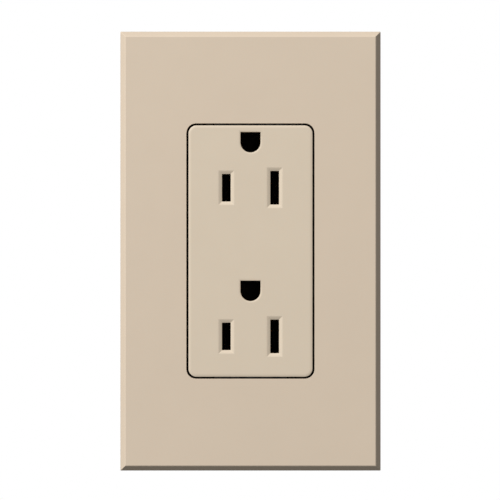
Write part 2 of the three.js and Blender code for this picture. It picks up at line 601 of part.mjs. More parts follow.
// A screw pointing along direction, with the underside of its head at centre. Its profile is given
// as the head's outline above the seat, then the shank.
function screw(headProfile, shankRadius, length, direction, centre) {
  const profile = [
    [0, length], [shankRadius * 0.6, length], [shankRadius, length - shankRadius * 0.6],
    [shankRadius, 0], ...headProfile,
  ];
  return turned([...profile].reverse(), direction, centre);
}

// A straight driver slot across a head: half length, half width, and its floor below the head's top.
function driverSlot(direction, centre, headHeight, depth, halfLength) {
  const along = new THREE.Vector3(...direction);
  const top = new THREE.Vector3(...centre).addScaledVector(along, -headHeight - 1);
  const floor = new THREE.Vector3(...centre).addScaledVector(along, -headHeight + depth);
  const across = Math.abs(direction[0]) > 0.5 ? [0, halfLength, 0.6] : [halfLength, 0, 0.6];
  const low = [0, 1, 2].map((i) => Math.min(top.getComponent(i), floor.getComponent(i)) - across[i]);
  const high = [0, 1, 2].map((i) => Math.max(top.getComponent(i), floor.getComponent(i)) + across[i]);
  return block([low[0], high[0]], [low[1], high[1]], [low[2], high[2]]);
}

function mountingScrew(end) {
  const centre = [0, -STRAP.thickness, end * MOUNTING_Z];
  const { radius, height } = MOUNTING_HEAD;
  const head = [[radius, 0], [radius, -0.7], [radius - 0.6, -1.6], [radius - 1.7, -height], [0, -height]];
  return screw(head, SCREW_6.radius, MOUNTING_LENGTH, [0, 1, 0], centre)
    .subtract(driverSlot([0, 1, 0], centre, height, 1.0, 4));
}

function mountingWasher(end) {
  const outline = roundedRectangle(WASHER.size, WASHER.size, WASHER.corner, [0, end * MOUNTING_Z]);
  const hole = rod(SCREW_6.hole + 0.05, 0, 9, [0, 1, 0], [0, 0, end * MOUNTING_Z]);
  return prism(outline, FRONT_VIEW, WASHER.back, WASHER.front, SMALL).subtract(hole);
}

function adapterScrew(end) {
  const centre = [0, ADAPTER.front, end * PLATE_SCREW_Z];
  const { radius, rim, cone } = ADAPTER_HEAD;
  const head = [[SCREW_6.radius, cone], [radius, rim], [radius, 0], [0, 0]];
  const shank = SCREW_6.radius;
  const point = [
    [0, ADAPTER_SCREW_LENGTH], [shank * 0.6, ADAPTER_SCREW_LENGTH], [shank, ADAPTER_SCREW_LENGTH - 1],
  ];
  return turned([...point, ...head].reverse(), [0, 1, 0], centre)
    .subtract(driverSlot([0, 1, 0], centre, 0, 0.9, 4));
}

function assemblyScrew(side, end) {
  const { head: radius, headHeight, shank, length, sunk } = ASSEMBLY;
  const centre = [side * ASSEMBLY.x, BODY.depth - sunk, end * ASSEMBLY.z];
  const head = [[radius, 0], [radius, -1.2], [radius - 0.7, -headHeight], [0, -headHeight]];
  return screw(head, shank, length, [0, -1, 0], centre)
    .subtract(driverSlot([0, -1, 0], centre, headHeight, 1.0, 3));
}

function terminalScrew(side, end) {
  const seat = TERMINAL.padOuter + CLAMP_THICKNESS;
  const centre = [side * seat, TERMINAL.y, end * TERMINAL.z];
  const { radius, height, length } = TERMINAL_HEAD;
  const head = [[radius, 0], [radius, -1.1], [radius - 0.8, -1.8], [radius - 2.2, -height], [0, -height]];
  return screw(head, SCREW_8.radius, length, [-side, 0, 0], centre)
    .subtract(driverSlot([-side, 0, 0], centre, height, 1.1, radius + 1));
}

function terminalClamp(side, end) {
  const { padOuter, y, z } = TERMINAL;
  const outline = roundedRectangle(CLAMP.width, CLAMP.height, CLAMP.corner, [y, end * z]);
  const grooves = [-WIRE_HOLE.offset, WIRE_HOLE.offset].map((shift) =>
    rod(CLAMP.groove, -5, 20, [0, 1, 0], [side * (padOuter - CLAMP.grooveIn), 0, end * z + shift]));
  return cut(prism(outline, SIDE_VIEW, side * padOuter, side * (padOuter + CLAMP_THICKNESS), SMALL), [
    rod(SCREW_8.hole, 0, 20, [side, 0, 0], [0, y, end * z]),
    ...grooves,
  ]);
}

function groundClamp() {
  const { outer, y, z, half } = GROUND_TAB;
  const outline = roundedRectangle(2 * half, 2 * half, CLAMP.corner, [y, z]);
  return prism(outline, SIDE_VIEW, outer, outer + CLAMP_THICKNESS, SMALL)
    .subtract(rod(SCREW_6.hole, 0, 20, [1, 0, 0], [0, y, z]));
}

function groundScrew() {
  const { outer, y, z } = GROUND_TAB;
  const centre = [outer + CLAMP_THICKNESS, y, z];
  const { flange, flangeHeight, hexagon, height, length } = GROUND_HEAD;
  const rim = [[flange, 0], [flange, -flangeHeight], [0, -flangeHeight]];
  const body = screw(rim, SCREW_6.radius, length, [-1, 0, 0], centre);
  const head = rod(hexagon, -height, -flangeHeight / 2, [-1, 0, 0], centre, 6);
  return body.add(head).subtract(driverSlot([-1, 0, 0], centre, height, 1.1, flange + 1));
}

// ---------------------------------------------------------------- assembly

const outlet = new THREE.Group();
outlet.name = 'duplex_wall_outlet';

const device = new THREE.Group();
const plates = new THREE.Group();
outlet.add(device, plates);

plates.add(
  meshOf('cover_plate', coverPlate(), finishes.cover),
  meshOf('adapter_plate', adapterPlate(), finishes.adapter),
);
device.add(
  meshOf('receptacle_face', receptacleFace(), finishes.face),
  meshOf('rear_body', rearBody(), finishes.darkPlastic),
  meshOf('mounting_strap', mountingStrap(), finishes.galvanised),
  meshOf('hot_contact', lineContact(SIDES.hot, HOT_SLOT), finishes.brass),
  meshOf('neutral_contact', lineContact(SIDES.neutral, NEUTRAL_SLOT), finishes.brass),
  meshOf('ground_screw', groundScrew(), finishes.green),
  meshOf('ground_clamp_plate', groundClamp(), finishes.zinc),
);
Object.keys(OUTLETS).forEach((level, index) => {
  const { groundZ } = outletFeatures[index];
  device.add(
    meshOf(`ground_contact_${level}`, groundContact(groundZ), finishes.brass),
    meshOf(`ground_rivet_${level}`, groundRivet(groundZ), finishes.zinc),
  );
});
for (const [endName, end] of Object.entries(ENDS)) {
  plates.add(meshOf(`adapter_screw_${endName}`, adapterScrew(end), finishes.zinc));
  device.add(
    meshOf(`mounting_screw_${endName}`, mountingScrew(end), finishes.zinc),
    meshOf(`mounting_washer_${endName}`, mountingWasher(end), finishes.fibre),
  );
  const level = end > 0 ? 'upper' : 'lower';
  for (const [sideName, side] of Object.entries(SIDES)) {
    const screwFinish = side < 0 ? finishes.brass : finishes.nickel;
    device.add(
      meshOf(`${sideName}_terminal_screw_${level}`, terminalScrew(side, end), screwFinish),
      meshOf(`${sideName}_clamp_plate_${level}`, terminalClamp(side, end), finishes.zinc),
      meshOf(`assembly_screw_${sideName}_${level}`, assemblyScrew(side, end), finishes.zinc),
    );
  }
}

export default outlet;
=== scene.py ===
"""Duplex wall outlet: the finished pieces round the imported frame, their materials, studio and camera.

Sizes are in millimetres, in the frame's own axes: +X right, +Y into the wall and +Z up, with y = 0 on the
wall plane. Every piece stands for the CAD node whose name it carries, and rides on that node's body."""
import json
import math
from types import SimpleNamespace as Sizes

import bmesh
import bpy
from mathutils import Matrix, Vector


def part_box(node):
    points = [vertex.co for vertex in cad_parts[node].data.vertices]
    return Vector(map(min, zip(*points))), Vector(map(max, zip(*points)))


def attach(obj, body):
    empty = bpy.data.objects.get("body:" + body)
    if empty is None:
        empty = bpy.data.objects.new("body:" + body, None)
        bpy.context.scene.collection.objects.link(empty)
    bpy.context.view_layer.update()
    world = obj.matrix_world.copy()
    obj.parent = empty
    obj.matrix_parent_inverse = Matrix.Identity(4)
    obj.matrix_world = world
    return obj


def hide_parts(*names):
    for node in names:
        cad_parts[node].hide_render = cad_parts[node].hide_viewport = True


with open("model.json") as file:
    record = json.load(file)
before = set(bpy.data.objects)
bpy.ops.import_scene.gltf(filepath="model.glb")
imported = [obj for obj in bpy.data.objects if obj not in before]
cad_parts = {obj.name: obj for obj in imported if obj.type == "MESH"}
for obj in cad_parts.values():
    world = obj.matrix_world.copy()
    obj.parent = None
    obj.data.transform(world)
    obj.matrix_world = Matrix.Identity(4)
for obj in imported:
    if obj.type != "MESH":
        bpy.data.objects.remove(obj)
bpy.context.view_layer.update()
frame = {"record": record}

MM = 0.001
MERGE = 2e-7  # metres; points nearer to each other than this are one
RECORD = frame["record"]
BODY_OF = {node: body for body, nodes in RECORD["behaviour"]["bodies"].items() for node in nodes}
SLOT_OF = {row["node"]: row["material_slot"] for row in RECORD["subparts"]}
SIDES = {"hot": -1, "neutral": 1}
LEVELS = {"upper": 1, "lower": -1}
ENDS = {"top": 1, "bottom": -1}


def extent(node):
    """The node's lowest and highest corner, in millimetres."""
    low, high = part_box(node)
    return [v / MM for v in low], [v / MM for v in high]


# -------- driving sizes

PLATE_LOW, PLATE_HIGH = extent("cover_plate")
FACE_LOW, FACE_HIGH = extent("receptacle_face")
STRAP_LOW, STRAP_HIGH = extent("mounting_strap")
ADAPTER_LOW, ADAPTER_HIGH = extent("adapter_plate")
BODY_DEPTH = extent("rear_body")[1][1]

PLATE_WIDTH = PLATE_HIGH[0] - PLATE_LOW[0]
PLATE_HEIGHT = PLATE_HIGH[2] - PLATE_LOW[2]
PLATE_FRONT = PLATE_LOW[1]
PLATE_BEVEL = 1.35
PLATE_BEVEL_DEPTH = 1.6
FRONT_ROUND = Sizes(outer=0.27, width=0.42, depth=0.26)  # where the bevel meets the front
SKIRT_ROUND = 0.16  # where the bevel meets the skirt
OPENING_ROUND = 0.08
PLATE_WALL = 1.6
PLATE_SKIN = 1.7
INNER_CORNER = 1.0
OPENING_WIDTH = 33.65
OPENING_HEIGHT = 67.05
OPENING_CORNER = 2.5
COLLAR_WALL = 1.2
COLLAR_BACK = -3.6
COLLAR_ROUND = 0.1
HOOK = Sizes(half=4.5, thickness=1.1, gap=0.25, root=-6.2, back=-0.9, z=30)
HOOK_BUMP = Sizes(half=3.5, height=0.13, front=-2.0, back=-1.3, root=0.3)
BUMP_SLOPES = Sizes(foot=(-2.05, -1.25), crest=(-1.8, -1.5))  # a side hook's bump, in depth
COVER_RIB = Sizes(x=18, half=0.5, front=-6.2, back=-5.0, inner=34.4, outer=56.5)
PRY_NOTCH = Sizes(half=4.0, top_half=3.6, height=2.2, depth=1.1)

FACE_WIDTH = FACE_HIGH[0] - FACE_LOW[0]
FACE_HEIGHT = FACE_HIGH[2] - FACE_LOW[2]
FACE_FRONT = FACE_LOW[1]
FACE_CORNER = 2.1
EDGE_ROUND = 0.07  # radius where the device's face and its ground holes meet their sides
EDGE_FALL = 0.12  # how far the face slopes down before that, over the next two widths
HOLE_FALL = 0.08  # and how far round a ground hole
FACE_FALL_WIDTH = 0.75
HOLE_FALL_WIDTH = 0.5
FACE_SKIN = 2.4
FACE_WALL = 1.8
FACE_OVERLAP = 0.4  # how far guides and bosses reach into the front wall
GUIDE = Sizes(half=11.2, back=-3.2, below=6.2, above=3.4)

PLUG_PITCH = 39.05
BLADE_DROP = 2.88
GROUND_RISE = 9.07
BLADE_X = 6.35
SLOT_WIDTH = 2.3
SLOT_HEIGHTS = {"hot": 7.25, "neutral": 8.85}
SLOT_CORNER = 0.12
LEAD_IN = 1.0
LEAD_IN_DEPTH = 0.36
LEAD_IN_CURVE = 1.35
GROUND_WIDTH = 5.28
GROUND_HEIGHT = 5.4

STRAP_THICKNESS = 1.3
STRAP_HALF_WIDTH = 9.5
STRAP_NECK = Sizes(start=31, corner=0.8)
WEB = Sizes(half=3.5, reach=40)  # the strip down the strap's middle
PAD = Sizes(width=15, height=12.4, corner=1.5, drop=0.2)
EAR = Sizes(start=40.4, corner=1.6, overlap=2, holes=(43.4, 50.2))
SCORE = Sizes(gap=0.6, half=0.45, depth=0.45)  # the line where an ear breaks off
MOUNTING_HOLE = Sizes(width=7.2, height=4.3, corner=2.1)
MOUNTING_Z = 41.67
PLATE_SCREW_Z = 48.42
TAB = Sizes(inner=12.6, outer=13.9, y=7.0, z=34.6, half=4.0, corner=1.4)
TAB_ARM = Sizes(low=33.4, high=38.4, back=3.4, bend=1.5)
RIVET_DROP = 4.7
RIVET_HOLE = 1.2
PIN_CLEARANCE = 0.33

BODY = Sizes(width=32.4, height=64.8, corner=1.5, shoulder=15.5, slope=0.8, step=0.5, edge=0.6)
FLANGE = Sizes(width=35.6, height=68.6, corner=1.6, thickness=2.0)
BAY = Sizes(inner=11.2, far=19.2, front=2.2, back=15.2, channel=12.9, channel_back=14.6)
BARRIER = Sizes(near=4.6, far=5.9, front=1.8, back=15.4)
CHAMBER = Sizes(inner=3.9, outer=9.4, half=4.6, back=13.4)  # round each blade's clip
BUS = Sizes(inner=8.2, outer=10.1, bay=12, near=5.8)  # the way from a chamber to its terminal
BLADE_STOP = Sizes(half=1.2, front=9.9, back=11.2, reach=5)
GROUND_CHAMBER = Sizes(half=4.6, below=6.6, above=2.85, back=14.2)
TAB_ROOM = Sizes(x=11.9, z=28.9, slot_z=33.1, slot_back=9, gap=0.3)
RECESS = Sizes(width=18, height=15, corner=1.2, depth=0.6, z=15)
STRIP_GAUGE = Sizes(half=6.5, half_height=1.3, depth=0.8)
WIRE_HOLE = Sizes(x=13.4, offset=3.6, radius=1.25, mouth=1.7, front=14.2)
ASSEMBLY = Sizes(
    x=12.2, z=23.4, pilot=1.7, pilot_front=-5.2, boss=2.6, sunk=2.4,
    shank=1.45, length=27.0, pitch=1.06, head=(2.3, 0.8, 1.9),
)

ADAPTER_FRONT = -3.3
ADAPTER_CORNER = 2.0
ADAPTER_RAIL = 1.2
ADAPTER_RIM = Sizes(wall=1.5, clear=17.4)
ADAPTER_RIB = Sizes(x=24, half=0.6, height=0.8)
ADAPTER_OPENING = Sizes(width=34.2, height=67.6, corner=2.6)
ADAPTER_WINDOW = Sizes(width=3.6, height=44, corner=1.4, x=20.6)
ADAPTER_GAP = Sizes(half=4.4, near=30, past_screw=3.35)  # round each mounting screw's head
JOIN = 0.3  # how far joined walls of the adapter reach into each other

TERMINAL_Y = 8.7
TERMINAL_Z = 12.6
TERMINAL_PAD = Sizes(inner=11.4, outer=12.6, width=11.2, height=12.8, corner=1.2, y=8.5, z=12.5)
BREAK_OFF = Sizes(tab=(5.6, 11.4), tab_half=4.2, neck=(7.2, 9.8), neck_half=7, hole=1.1)
BASE_BAR = Sizes(depths=(11.5, 12.7), inner=4.4, outer=9.8)
BUS_BAR = Sizes(inner=8.6, near=6.2, far=18.8)
LEAF_THICKNESS = 0.7
# each leaf's inner face: its offset from the blade's or the pin's middle, and its depth
CLIP_LEAF = [(1.5, -2.7), (1.3, 1.5), (0.55, 5.5), (0.75, 7.4), (1.5, 9.4), (1.5, 12.7)]
FORK_LEAF = [(2.6, 0.4), (2.6, 2.0), (2.2, 5.6), (2.3, 8.0), (2.9, 11.0)]
FORK_BASE = Sizes(width=7.4, height=9.0, corner=1.0, drop=1.9, thickness=0.8)
FORK_HALF = 2.0

CLAMP_THICKNESS = 1.5
CLAMP = Sizes(width=9.4, height=10.6, corner=1.0, groove=1.0, groove_in=0.55)
GROUND_CLAMP = Sizes(size=8.0, corner=1.0)
WASHER = Sizes(size=9.6, corner=1.6, front=2.5, back=3.4, hole=2.05)
SCREW_6 = 1.75
SCREW_8 = 2.08
HOLE_6 = 2.0
HOLE_8 = 2.35
THREAD_PITCH = 0.794
# a domed head is its radius, its rim's height and its whole height
MOUNTING_SCREW = Sizes(head=(3.1, 0.7, 2.0), length=25.4)
TERMINAL_SCREW = Sizes(head=(4.0, 1.1, 2.1), length=4.9)
ADAPTER_SCREW_LENGTH = 12.7
GROUND_SCREW_LENGTH = 7.6

BLADE_Z = {level: sign * PLUG_PITCH / 2 - BLADE_DROP for level, sign in LEVELS.items()}
GROUND_Z = {level: sign * PLUG_PITCH / 2 + GROUND_RISE for level, sign in LEVELS.items()}
INWARDS = (0, 1, 0)
OUTWARDS = (0, -1, 0)

# -------- mesh tools


def made(name, points, faces):
    """A new object from points in millimetres, with its faces turned outwards."""
    mesh = bpy.data.meshes.new(name)
    mesh.from_pydata([tuple(c * MM for c in p) for p in points], [], faces)
    work = bmesh.new()
    work.from_mesh(mesh)
    bmesh.ops.recalc_face_normals(work, faces=work.faces)
    work.to_mesh(mesh)
    work.free()
    obj = bpy.data.objects.new(name, mesh)
    bpy.context.scene.collection.objects.link(obj)
    return obj


def loft(rings, closed=False):
    """A skin through rings of equal length. Its ends are capped, or joined to each other if closed."""
    count = len(rings[0])
    points = [p for ring in rings for p in ring]
    faces = []
    spans = len(rings) if closed else len(rings) - 1
    for k in range(spans):
        a, b = k * count, (k + 1) % len(rings) * count
        for i in range(count):
            j = (i + 1) % count
            faces.append((a + i, a + j, b + j, b + i))
    if not closed:
        faces.append(tuple(range(count))[::-1])
        faces.append(tuple(range(len(points) - count, len(points))))
    return made("part", points, faces)


def placed(outline, depth, view="front"):
    """An outline drawn in one view, as points at a depth across it."""
    return [
        {"front": (a, depth, b), "side": (depth, a, b), "top": (a, b, depth)}[view] for a, b in outline
    ]


def prism(outline, view, start, end):
    """An outline drawn in one view, extruded between two depths across it."""
    return loft([placed(outline, depth, view) for depth in (start, end)])


def block(x, y, z):
    """A box between two places on each axis."""
    return prism([(x[0], z[0]), (x[1], z[0]), (x[1], z[1]), (x[0], z[1])], "front", *y)


def rounded(width, height, corner, centre=(0, 0), steps=6):
    """A rectangle with round corners, counter-clockwise."""
    points = []
    for quarter, (sx, sy) in enumerate([(1, -1), (1, 1), (-1, 1), (-1, -1)]):
        cx = centre[0] + sx * (width / 2 - corner)
        cy = centre[1] + sy * (height / 2 - corner)
        for i in range(steps + 1):
            t = math.radians(90 * (quarter - 1 + i / steps))
            points.append((cx + corner * math.cos(t), cy + corner * math.sin(t)))
    return points


def ground_outline(z, margin, steps=20):
    """A ground hole: flat top, half-round bottom, grown by margin."""
    radius = GROUND_WIDTH / 2 + margin
    top = z + GROUND_HEIGHT / 2 + margin
    middle = z - GROUND_HEIGHT / 2 + GROUND_WIDTH / 2
    arc = [math.pi * (1 + i / steps) for i in range(steps + 1)]
    return [(radius, top), (-radius, top)] + [
        (radius * math.cos(t), middle + radius * math.sin(t)) for t in arc
    ]


def ring(radius, along, axis, centre, sides, thread=None):
    """A circle round an axis. thread(angle, along) gives the radius where the surface isn't round."""
    d = Vector(axis)
    u = Vector((0, 0, 1))
    v = d.cross(u)
    points = []
    for i in range(sides):
        t = 2 * math.pi * i / sides
        r = thread(t, along) if thread else radius
        points.append(tuple(Vector(centre) + d * along + (u * math.cos(t) + v * math.sin(t)) * r))
    return points


def turned(profile, axis, centre, sides=40):
    """A turned solid with flat ends: its profile is a list of (radius, place along the axis)."""
    return loft([ring(r, along, axis, centre, sides) for r, along in profile])


def rod(radius, start, end, axis, centre, sides=40):
    return turned([(radius, start), (radius, end)], axis, centre, sides)


def between(sign, a, b):
    """Two places on one side of the middle, the lower one first."""
    return sorted((sign * a, sign * b))


def span(half, centre=0):
    """Two places at the same distance either side of a centre."""
    return centre - half, centre + half


def panel(sizes, centre=(0, 0), steps=6):
    return rounded(sizes.width, sizes.height, sizes.corner, centre, steps)


def carved(base, joined=(), cutters=()):
    """base with other solids joined to it, then with cutters taken out of it."""
    for operation, operands in (("UNION", joined), ("DIFFERENCE", cutters)):
        for other in operands:
            step = base.modifiers.new("carve", "BOOLEAN")
            step.operation = operation
            step.object = other
            step.solver = "MANIFOLD"
    mesh = bpy.data.meshes.new_from_object(base.evaluated_get(bpy.context.evaluated_depsgraph_get()))
    base.modifiers.clear()
    old = base.data
    base.data = mesh
    bpy.data.meshes.remove(old)
    for other in (*joined, *cutters):
        data = other.data
        bpy.data.objects.remove(other)
        bpy.data.meshes.remove(data)
    return base


def cleaned(obj, flatten=True):
    """Merges the doubled points that carving leaves and, to flatten, the flat faces that it splits."""
    work = bmesh.new()
    work.from_mesh(obj.data)
    bmesh.ops.remove_doubles(work, verts=work.verts, dist=MERGE)
    if flatten:
        bmesh.ops.dissolve_degenerate(work, edges=work.edges, dist=MERGE)
        bmesh.ops.dissolve_limit(work, angle_limit=math.radians(0.4), verts=work.verts, edges=work.edges)
    work.to_mesh(obj.data)
    work.free()
    return obj


def soften(obj, width, segments=2, angle=32):
    """Rounds the sharp edges, and shades the rest smoothly."""
    for polygon in obj.data.polygons:
        polygon.use_smooth = True
    if width:
        edge = obj.modifiers.new("edges", "BEVEL")
        edge.width = width * MM
        edge.segments = segments
        edge.limit_method = "ANGLE"
        edge.angle_limit = math.radians(angle)
        edge.miter_outer = "MITER_ARC"
        edge.harden_normals = True
    return obj


def sharp_shaded(obj, angle=28):
    """Smooth shading that stays crisp over edges sharper than angle, with flat faces kept flat."""
    work = bmesh.new()
    work.from_mesh(obj.data)
    for face in work.faces:
        face.smooth = True
    for e in work.edges:
        e.smooth = len(e.link_faces) == 2 and e.calc_face_angle(0) < math.radians(angle)
    work.to_mesh(obj.data)
    work.free()
    weighted = obj.modifiers.new("normals", "WEIGHTED_NORMAL")
    weighted.keep_sharp = True
    weighted.weight = 100
    return obj


def stands_for(node, obj):
    """obj takes a CAD node's place: its body, its material slot and that slot's material."""
    obj.name = node + "_detail"
    obj.data.name = obj.name
    obj.data.materials.clear()
    obj.data.materials.append(MATERIALS[SLOT_OF[node]])
    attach(obj, BODY_OF[node])
    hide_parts(node)


# -------- materials


def shader(name, metallic=0.0, **sockets):
    """A material whose constants sit on the shader's own sockets, and its tools for the patterns."""
    mat = bpy.data.materials.new(name)
    mat.use_nodes = True
    tree = mat.node_tree
    surface = tree.nodes["Principled BSDF"]
    surface.inputs["Metallic"].default_value = metallic
    for socket, value in sockets.items():
        surface.inputs[socket.replace("_", " ")].default_value = value
    return mat, tree, surface


def coordinates(tree, stretch=(1, 1, 1)):
    """Object coordinates, so that a pattern moves with its piece."""
    source = tree.nodes.new("ShaderNodeTexCoord")
    mapping = tree.nodes.new("ShaderNodeMapping")
    mapping.inputs["Scale"].default_value = stretch
    tree.links.new(source.outputs["Object"], mapping.inputs["Vector"])
    return mapping.outputs["Vector"]


def noise(tree, vector, size, detail=3.0, roughness=0.55):
    """Noise whose features are about size millimetres across."""
    node = tree.nodes.new("ShaderNodeTexNoise")
    node.inputs["Scale"].default_value = 1 / (size * MM)
    node.inputs["Detail"].default_value = detail
    node.inputs["Roughness"].default_value = roughness
    tree.links.new(vector, node.inputs["Vector"])
    return node.outputs["Fac"]


def cells(tree, vector, size):
    """Patches of random colour, about size millimetres across."""
    node = tree.nodes.new("ShaderNodeTexVoronoi")
    node.inputs["Scale"].default_value = 1 / (size * MM)
    tree.links.new(vector, node.inputs["Vector"])
    return node.outputs["Color"]


def ramp(tree, value, low, high, start=0.3, end=0.7):
    """Maps start..end of value to two grey levels."""
    node = tree.nodes.new("ShaderNodeMapRange")
    node.inputs["From Min"].default_value = start
    node.inputs["From Max"].default_value = end
    node.inputs["To Min"].default_value = low
    node.inputs["To Max"].default_value = high
    tree.links.new(value, node.inputs["Value"])
    return node.outputs["Result"]


def blend(tree, factor, first, second):
    """A mix of two colours. The factor and each colour are a value or a socket."""
    node = tree.nodes.new("ShaderNodeMix")
    node.data_type = "RGBA"
    if isinstance(factor, bpy.types.NodeSocket):
        tree.links.new(factor, node.inputs["Factor"])
    else:
        node.inputs["Factor"].default_value = factor
    for socket, colour in ((node.inputs[6], first), (node.inputs[7], second)):
        if isinstance(colour, bpy.types.NodeSocket):
            tree.links.new(colour, socket)
        else:
            socket.default_value = (*colour, 1)
    return node.outputs[2]


def bump(tree, height, depth, normal=None):
    """A relief of depth micrometres."""
    node = tree.nodes.new("ShaderNodeBump")
    node.inputs["Strength"].default_value = 1.0
    node.inputs["Distance"].default_value = depth * 1e-6
    tree.links.new(height, node.inputs["Height"])
    if normal is not None:
        tree.links.new(normal, node.inputs["Normal"])
    return node.outputs["Normal"]


def tinted(colour, amount):
    return tuple(c * amount for c in colour)


def moulded_plastic(name, colour, roughness, grain, relief, specular=0.35):
    """Matte moulded plastic: a cloudy tone, a fine speckle and a spark-eroded mould grain."""
    mat, tree, surface = shader(name, IOR=1.5, Specular_IOR_Level=specular)
    at = coordinates(tree)
    cloud = ramp(tree, noise(tree, at, 14, 4), 0, 1)
    toned = blend(tree, cloud, tinted(colour, 0.985), tinted(colour, 1.015))
    speckle = ramp(tree, noise(tree, at, 0.55, 2), 0, 1, 0.35, 0.65)
    warm = (colour[0] * 1.012, colour[1] * 0.994, colour[2] * 0.982)
    cool = (colour[0] * 0.988, colour[1] * 1.004, colour[2] * 1.018)
    mottled = blend(tree, speckle, warm, cool)
    tree.links.new(blend(tree, 0.5, toned, mottled), surface.inputs["Base Color"])
    worn = ramp(tree, noise(tree, at, 5, 5), roughness - 0.05, roughness + 0.06)
    tree.links.new(worn, surface.inputs["Roughness"])
    grained = bump(tree, noise(tree, at, grain, 3, 0.6), relief)
    swell = bump(tree, noise(tree, at, 9, 2), relief * 3, grained)
    tree.links.new(swell, surface.inputs["Normal"])
    return mat


def filled_plastic(name, colour):
    """Dark glass-filled plastic: a dull skin with short pale fibres and flow marks."""
    mat, tree, surface = shader(name, Specular_IOR_Level=0.4)
    at = coordinates(tree)
    fibres = ramp(tree, noise(tree, coordinates(tree, (1, 1, 6)), 0.5, 4, 0.7), 0, 1, 0.60, 0.74)
    flow = ramp(tree, noise(tree, coordinates(tree, (1, 0.3, 1)), 6, 5), 0, 1)
    base = blend(tree, flow, tinted(colour, 0.8), tinted(colour, 1.25))
    tree.links.new(blend(tree, fibres, base, tinted(colour, 2.4)), surface.inputs["Base Color"])
    tree.links.new(ramp(tree, noise(tree, at, 2.5, 4), 0.42, 0.62), surface.inputs["Roughness"])
    tree.links.new(bump(tree, noise(tree, at, 0.3, 4), 9), surface.inputs["Normal"])
    return mat


def galvanised_sheet(name, colour):
    """Zinc-coated sheet: spangled crystals, a dull film and rolling marks."""
    mat, tree, surface = shader(name, metallic=1.0)
    at = coordinates(tree)
    grey = tree.nodes.new("ShaderNodeRGBToBW")
    tree.links.new(cells(tree, at, 2.2), grey.inputs["Color"])
    spangle = ramp(tree, grey.outputs["Val"], 0, 1, 0.1, 0.9)
    film = ramp(tree, noise(tree, at, 4, 5), 0, 1)
    crystal = blend(tree, spangle, tinted(colour, 0.86), tinted(colour, 1.08))
    tree.links.new(blend(tree, film, crystal, tinted(colour, 0.93)), surface.inputs["Base Color"])
    tree.links.new(ramp(tree, grey.outputs["Val"], 0.30, 0.50, 0.1, 0.9), surface.inputs["Roughness"])
    rolled = bump(tree, noise(tree, coordinates(tree, (8, 1, 0.6)), 1.2, 4), 4)
    tree.links.new(bump(tree, grey.outputs["Val"], 3, rolled), surface.inputs["Normal"])
    return mat


def plated_metal(name, colour, roughness, tarnish, stretch=(1, 1, 1)):
    """Plated or bare metal: a drawn or brushed grain, tarnish in patches and small scratches."""
    mat, tree, surface = shader(name, metallic=1.0)
    at = coordinates(tree)
    patches = ramp(tree, noise(tree, at, 2.6, 6, 0.6), 0, 1, 0.42, 0.68)
    tree.links.new(blend(tree, patches, colour, tarnish), surface.inputs["Base Color"])
    worn = ramp(tree, noise(tree, at, 1.1, 5), roughness - 0.06, roughness + 0.14)
    tree.links.new(worn, surface.inputs["Roughness"])
    grain = bump(tree, noise(tree, coordinates(tree, stretch), 0.35, 3), 2.5)
    scratches = ramp(tree, noise(tree, coordinates(tree, (1, 14, 3)), 1.5, 2), 0, 1, 0.62, 0.66)
    tree.links.new(bump(tree, scratches, 2.0, grain), surface.inputs["Normal"])
    return mat


def pressed_fibre(name, colour):
    """Vulcanised fibre: a hard paper board with a matted, streaky surface."""
    mat, tree, surface = shader(name, Specular_IOR_Level=0.25)
    streaks = noise(tree, coordinates(tree, (1, 1, 7)), 0.9, 5, 0.7)
    matted = ramp(tree, streaks, 0, 1, 0.35, 0.68)
    toned = blend(tree, matted, tinted(colour, 0.78), tinted(colour, 1.22))
    tree.links.new(toned, surface.inputs["Base Color"])
    tree.links.new(ramp(tree, streaks, 0.7, 0.9), surface.inputs["Roughness"])
    tree.links.new(bump(tree, streaks, 22), surface.inputs["Normal"])
    return mat


MATERIALS = {
    "cover_plastic": moulded_plastic("cover_plastic", (0.640, 0.529, 0.409), 0.56, 0.24, 6.5),
    "face_plastic": moulded_plastic("face_plastic", (0.655, 0.553, 0.427), 0.52, 0.22, 3.6),
    "adapter_plastic": moulded_plastic("adapter_plastic", (0.610, 0.512, 0.392), 0.60, 0.35, 5.0),
    "dark_plastic": filled_plastic("dark_plastic", (0.024, 0.022, 0.019)),
    "galvanised_steel": galvanised_sheet("galvanised_steel", (0.60, 0.62, 0.63)),
    "zinc_steel": plated_metal("zinc_steel", (0.66, 0.67, 0.69), 0.26, (0.50, 0.50, 0.50)),
    "brass": plated_metal("brass", (0.78, 0.56, 0.24), 0.27, (0.52, 0.35, 0.14), (1, 6, 1)),
    "nickel": plated_metal("nickel", (0.74, 0.73, 0.70), 0.22, (0.58, 0.56, 0.52)),
    "green_steel": plated_metal("green_steel", (0.035, 0.27, 0.10), 0.28, (0.05, 0.19, 0.09)),
    "fibre": pressed_fibre("fibre", (0.36, 0.20, 0.09)),
}

# -------- wall plate


def plate_ring(inset, y, corner=0.2):
    """The plate's outline at one depth, drawn in by inset."""
    return placed(rounded(PLATE_WIDTH - 2 * inset, PLATE_HEIGHT - 2 * inset, corner), y)


def opening_ring(grow, y):
    """The opening's outline at one depth, grown by grow."""
    return placed(rounded(OPENING_WIDTH + 2 * grow, OPENING_HEIGHT + 2 * grow, OPENING_CORNER + grow), y)


def fillet(count):
    """Steps of a quarter round, from along one face to along the other."""
    angles = [math.pi / 2 * i / count for i in range(count + 1)]
    return [(1 - math.sin(t), 1 - math.cos(t)) for t in angles]


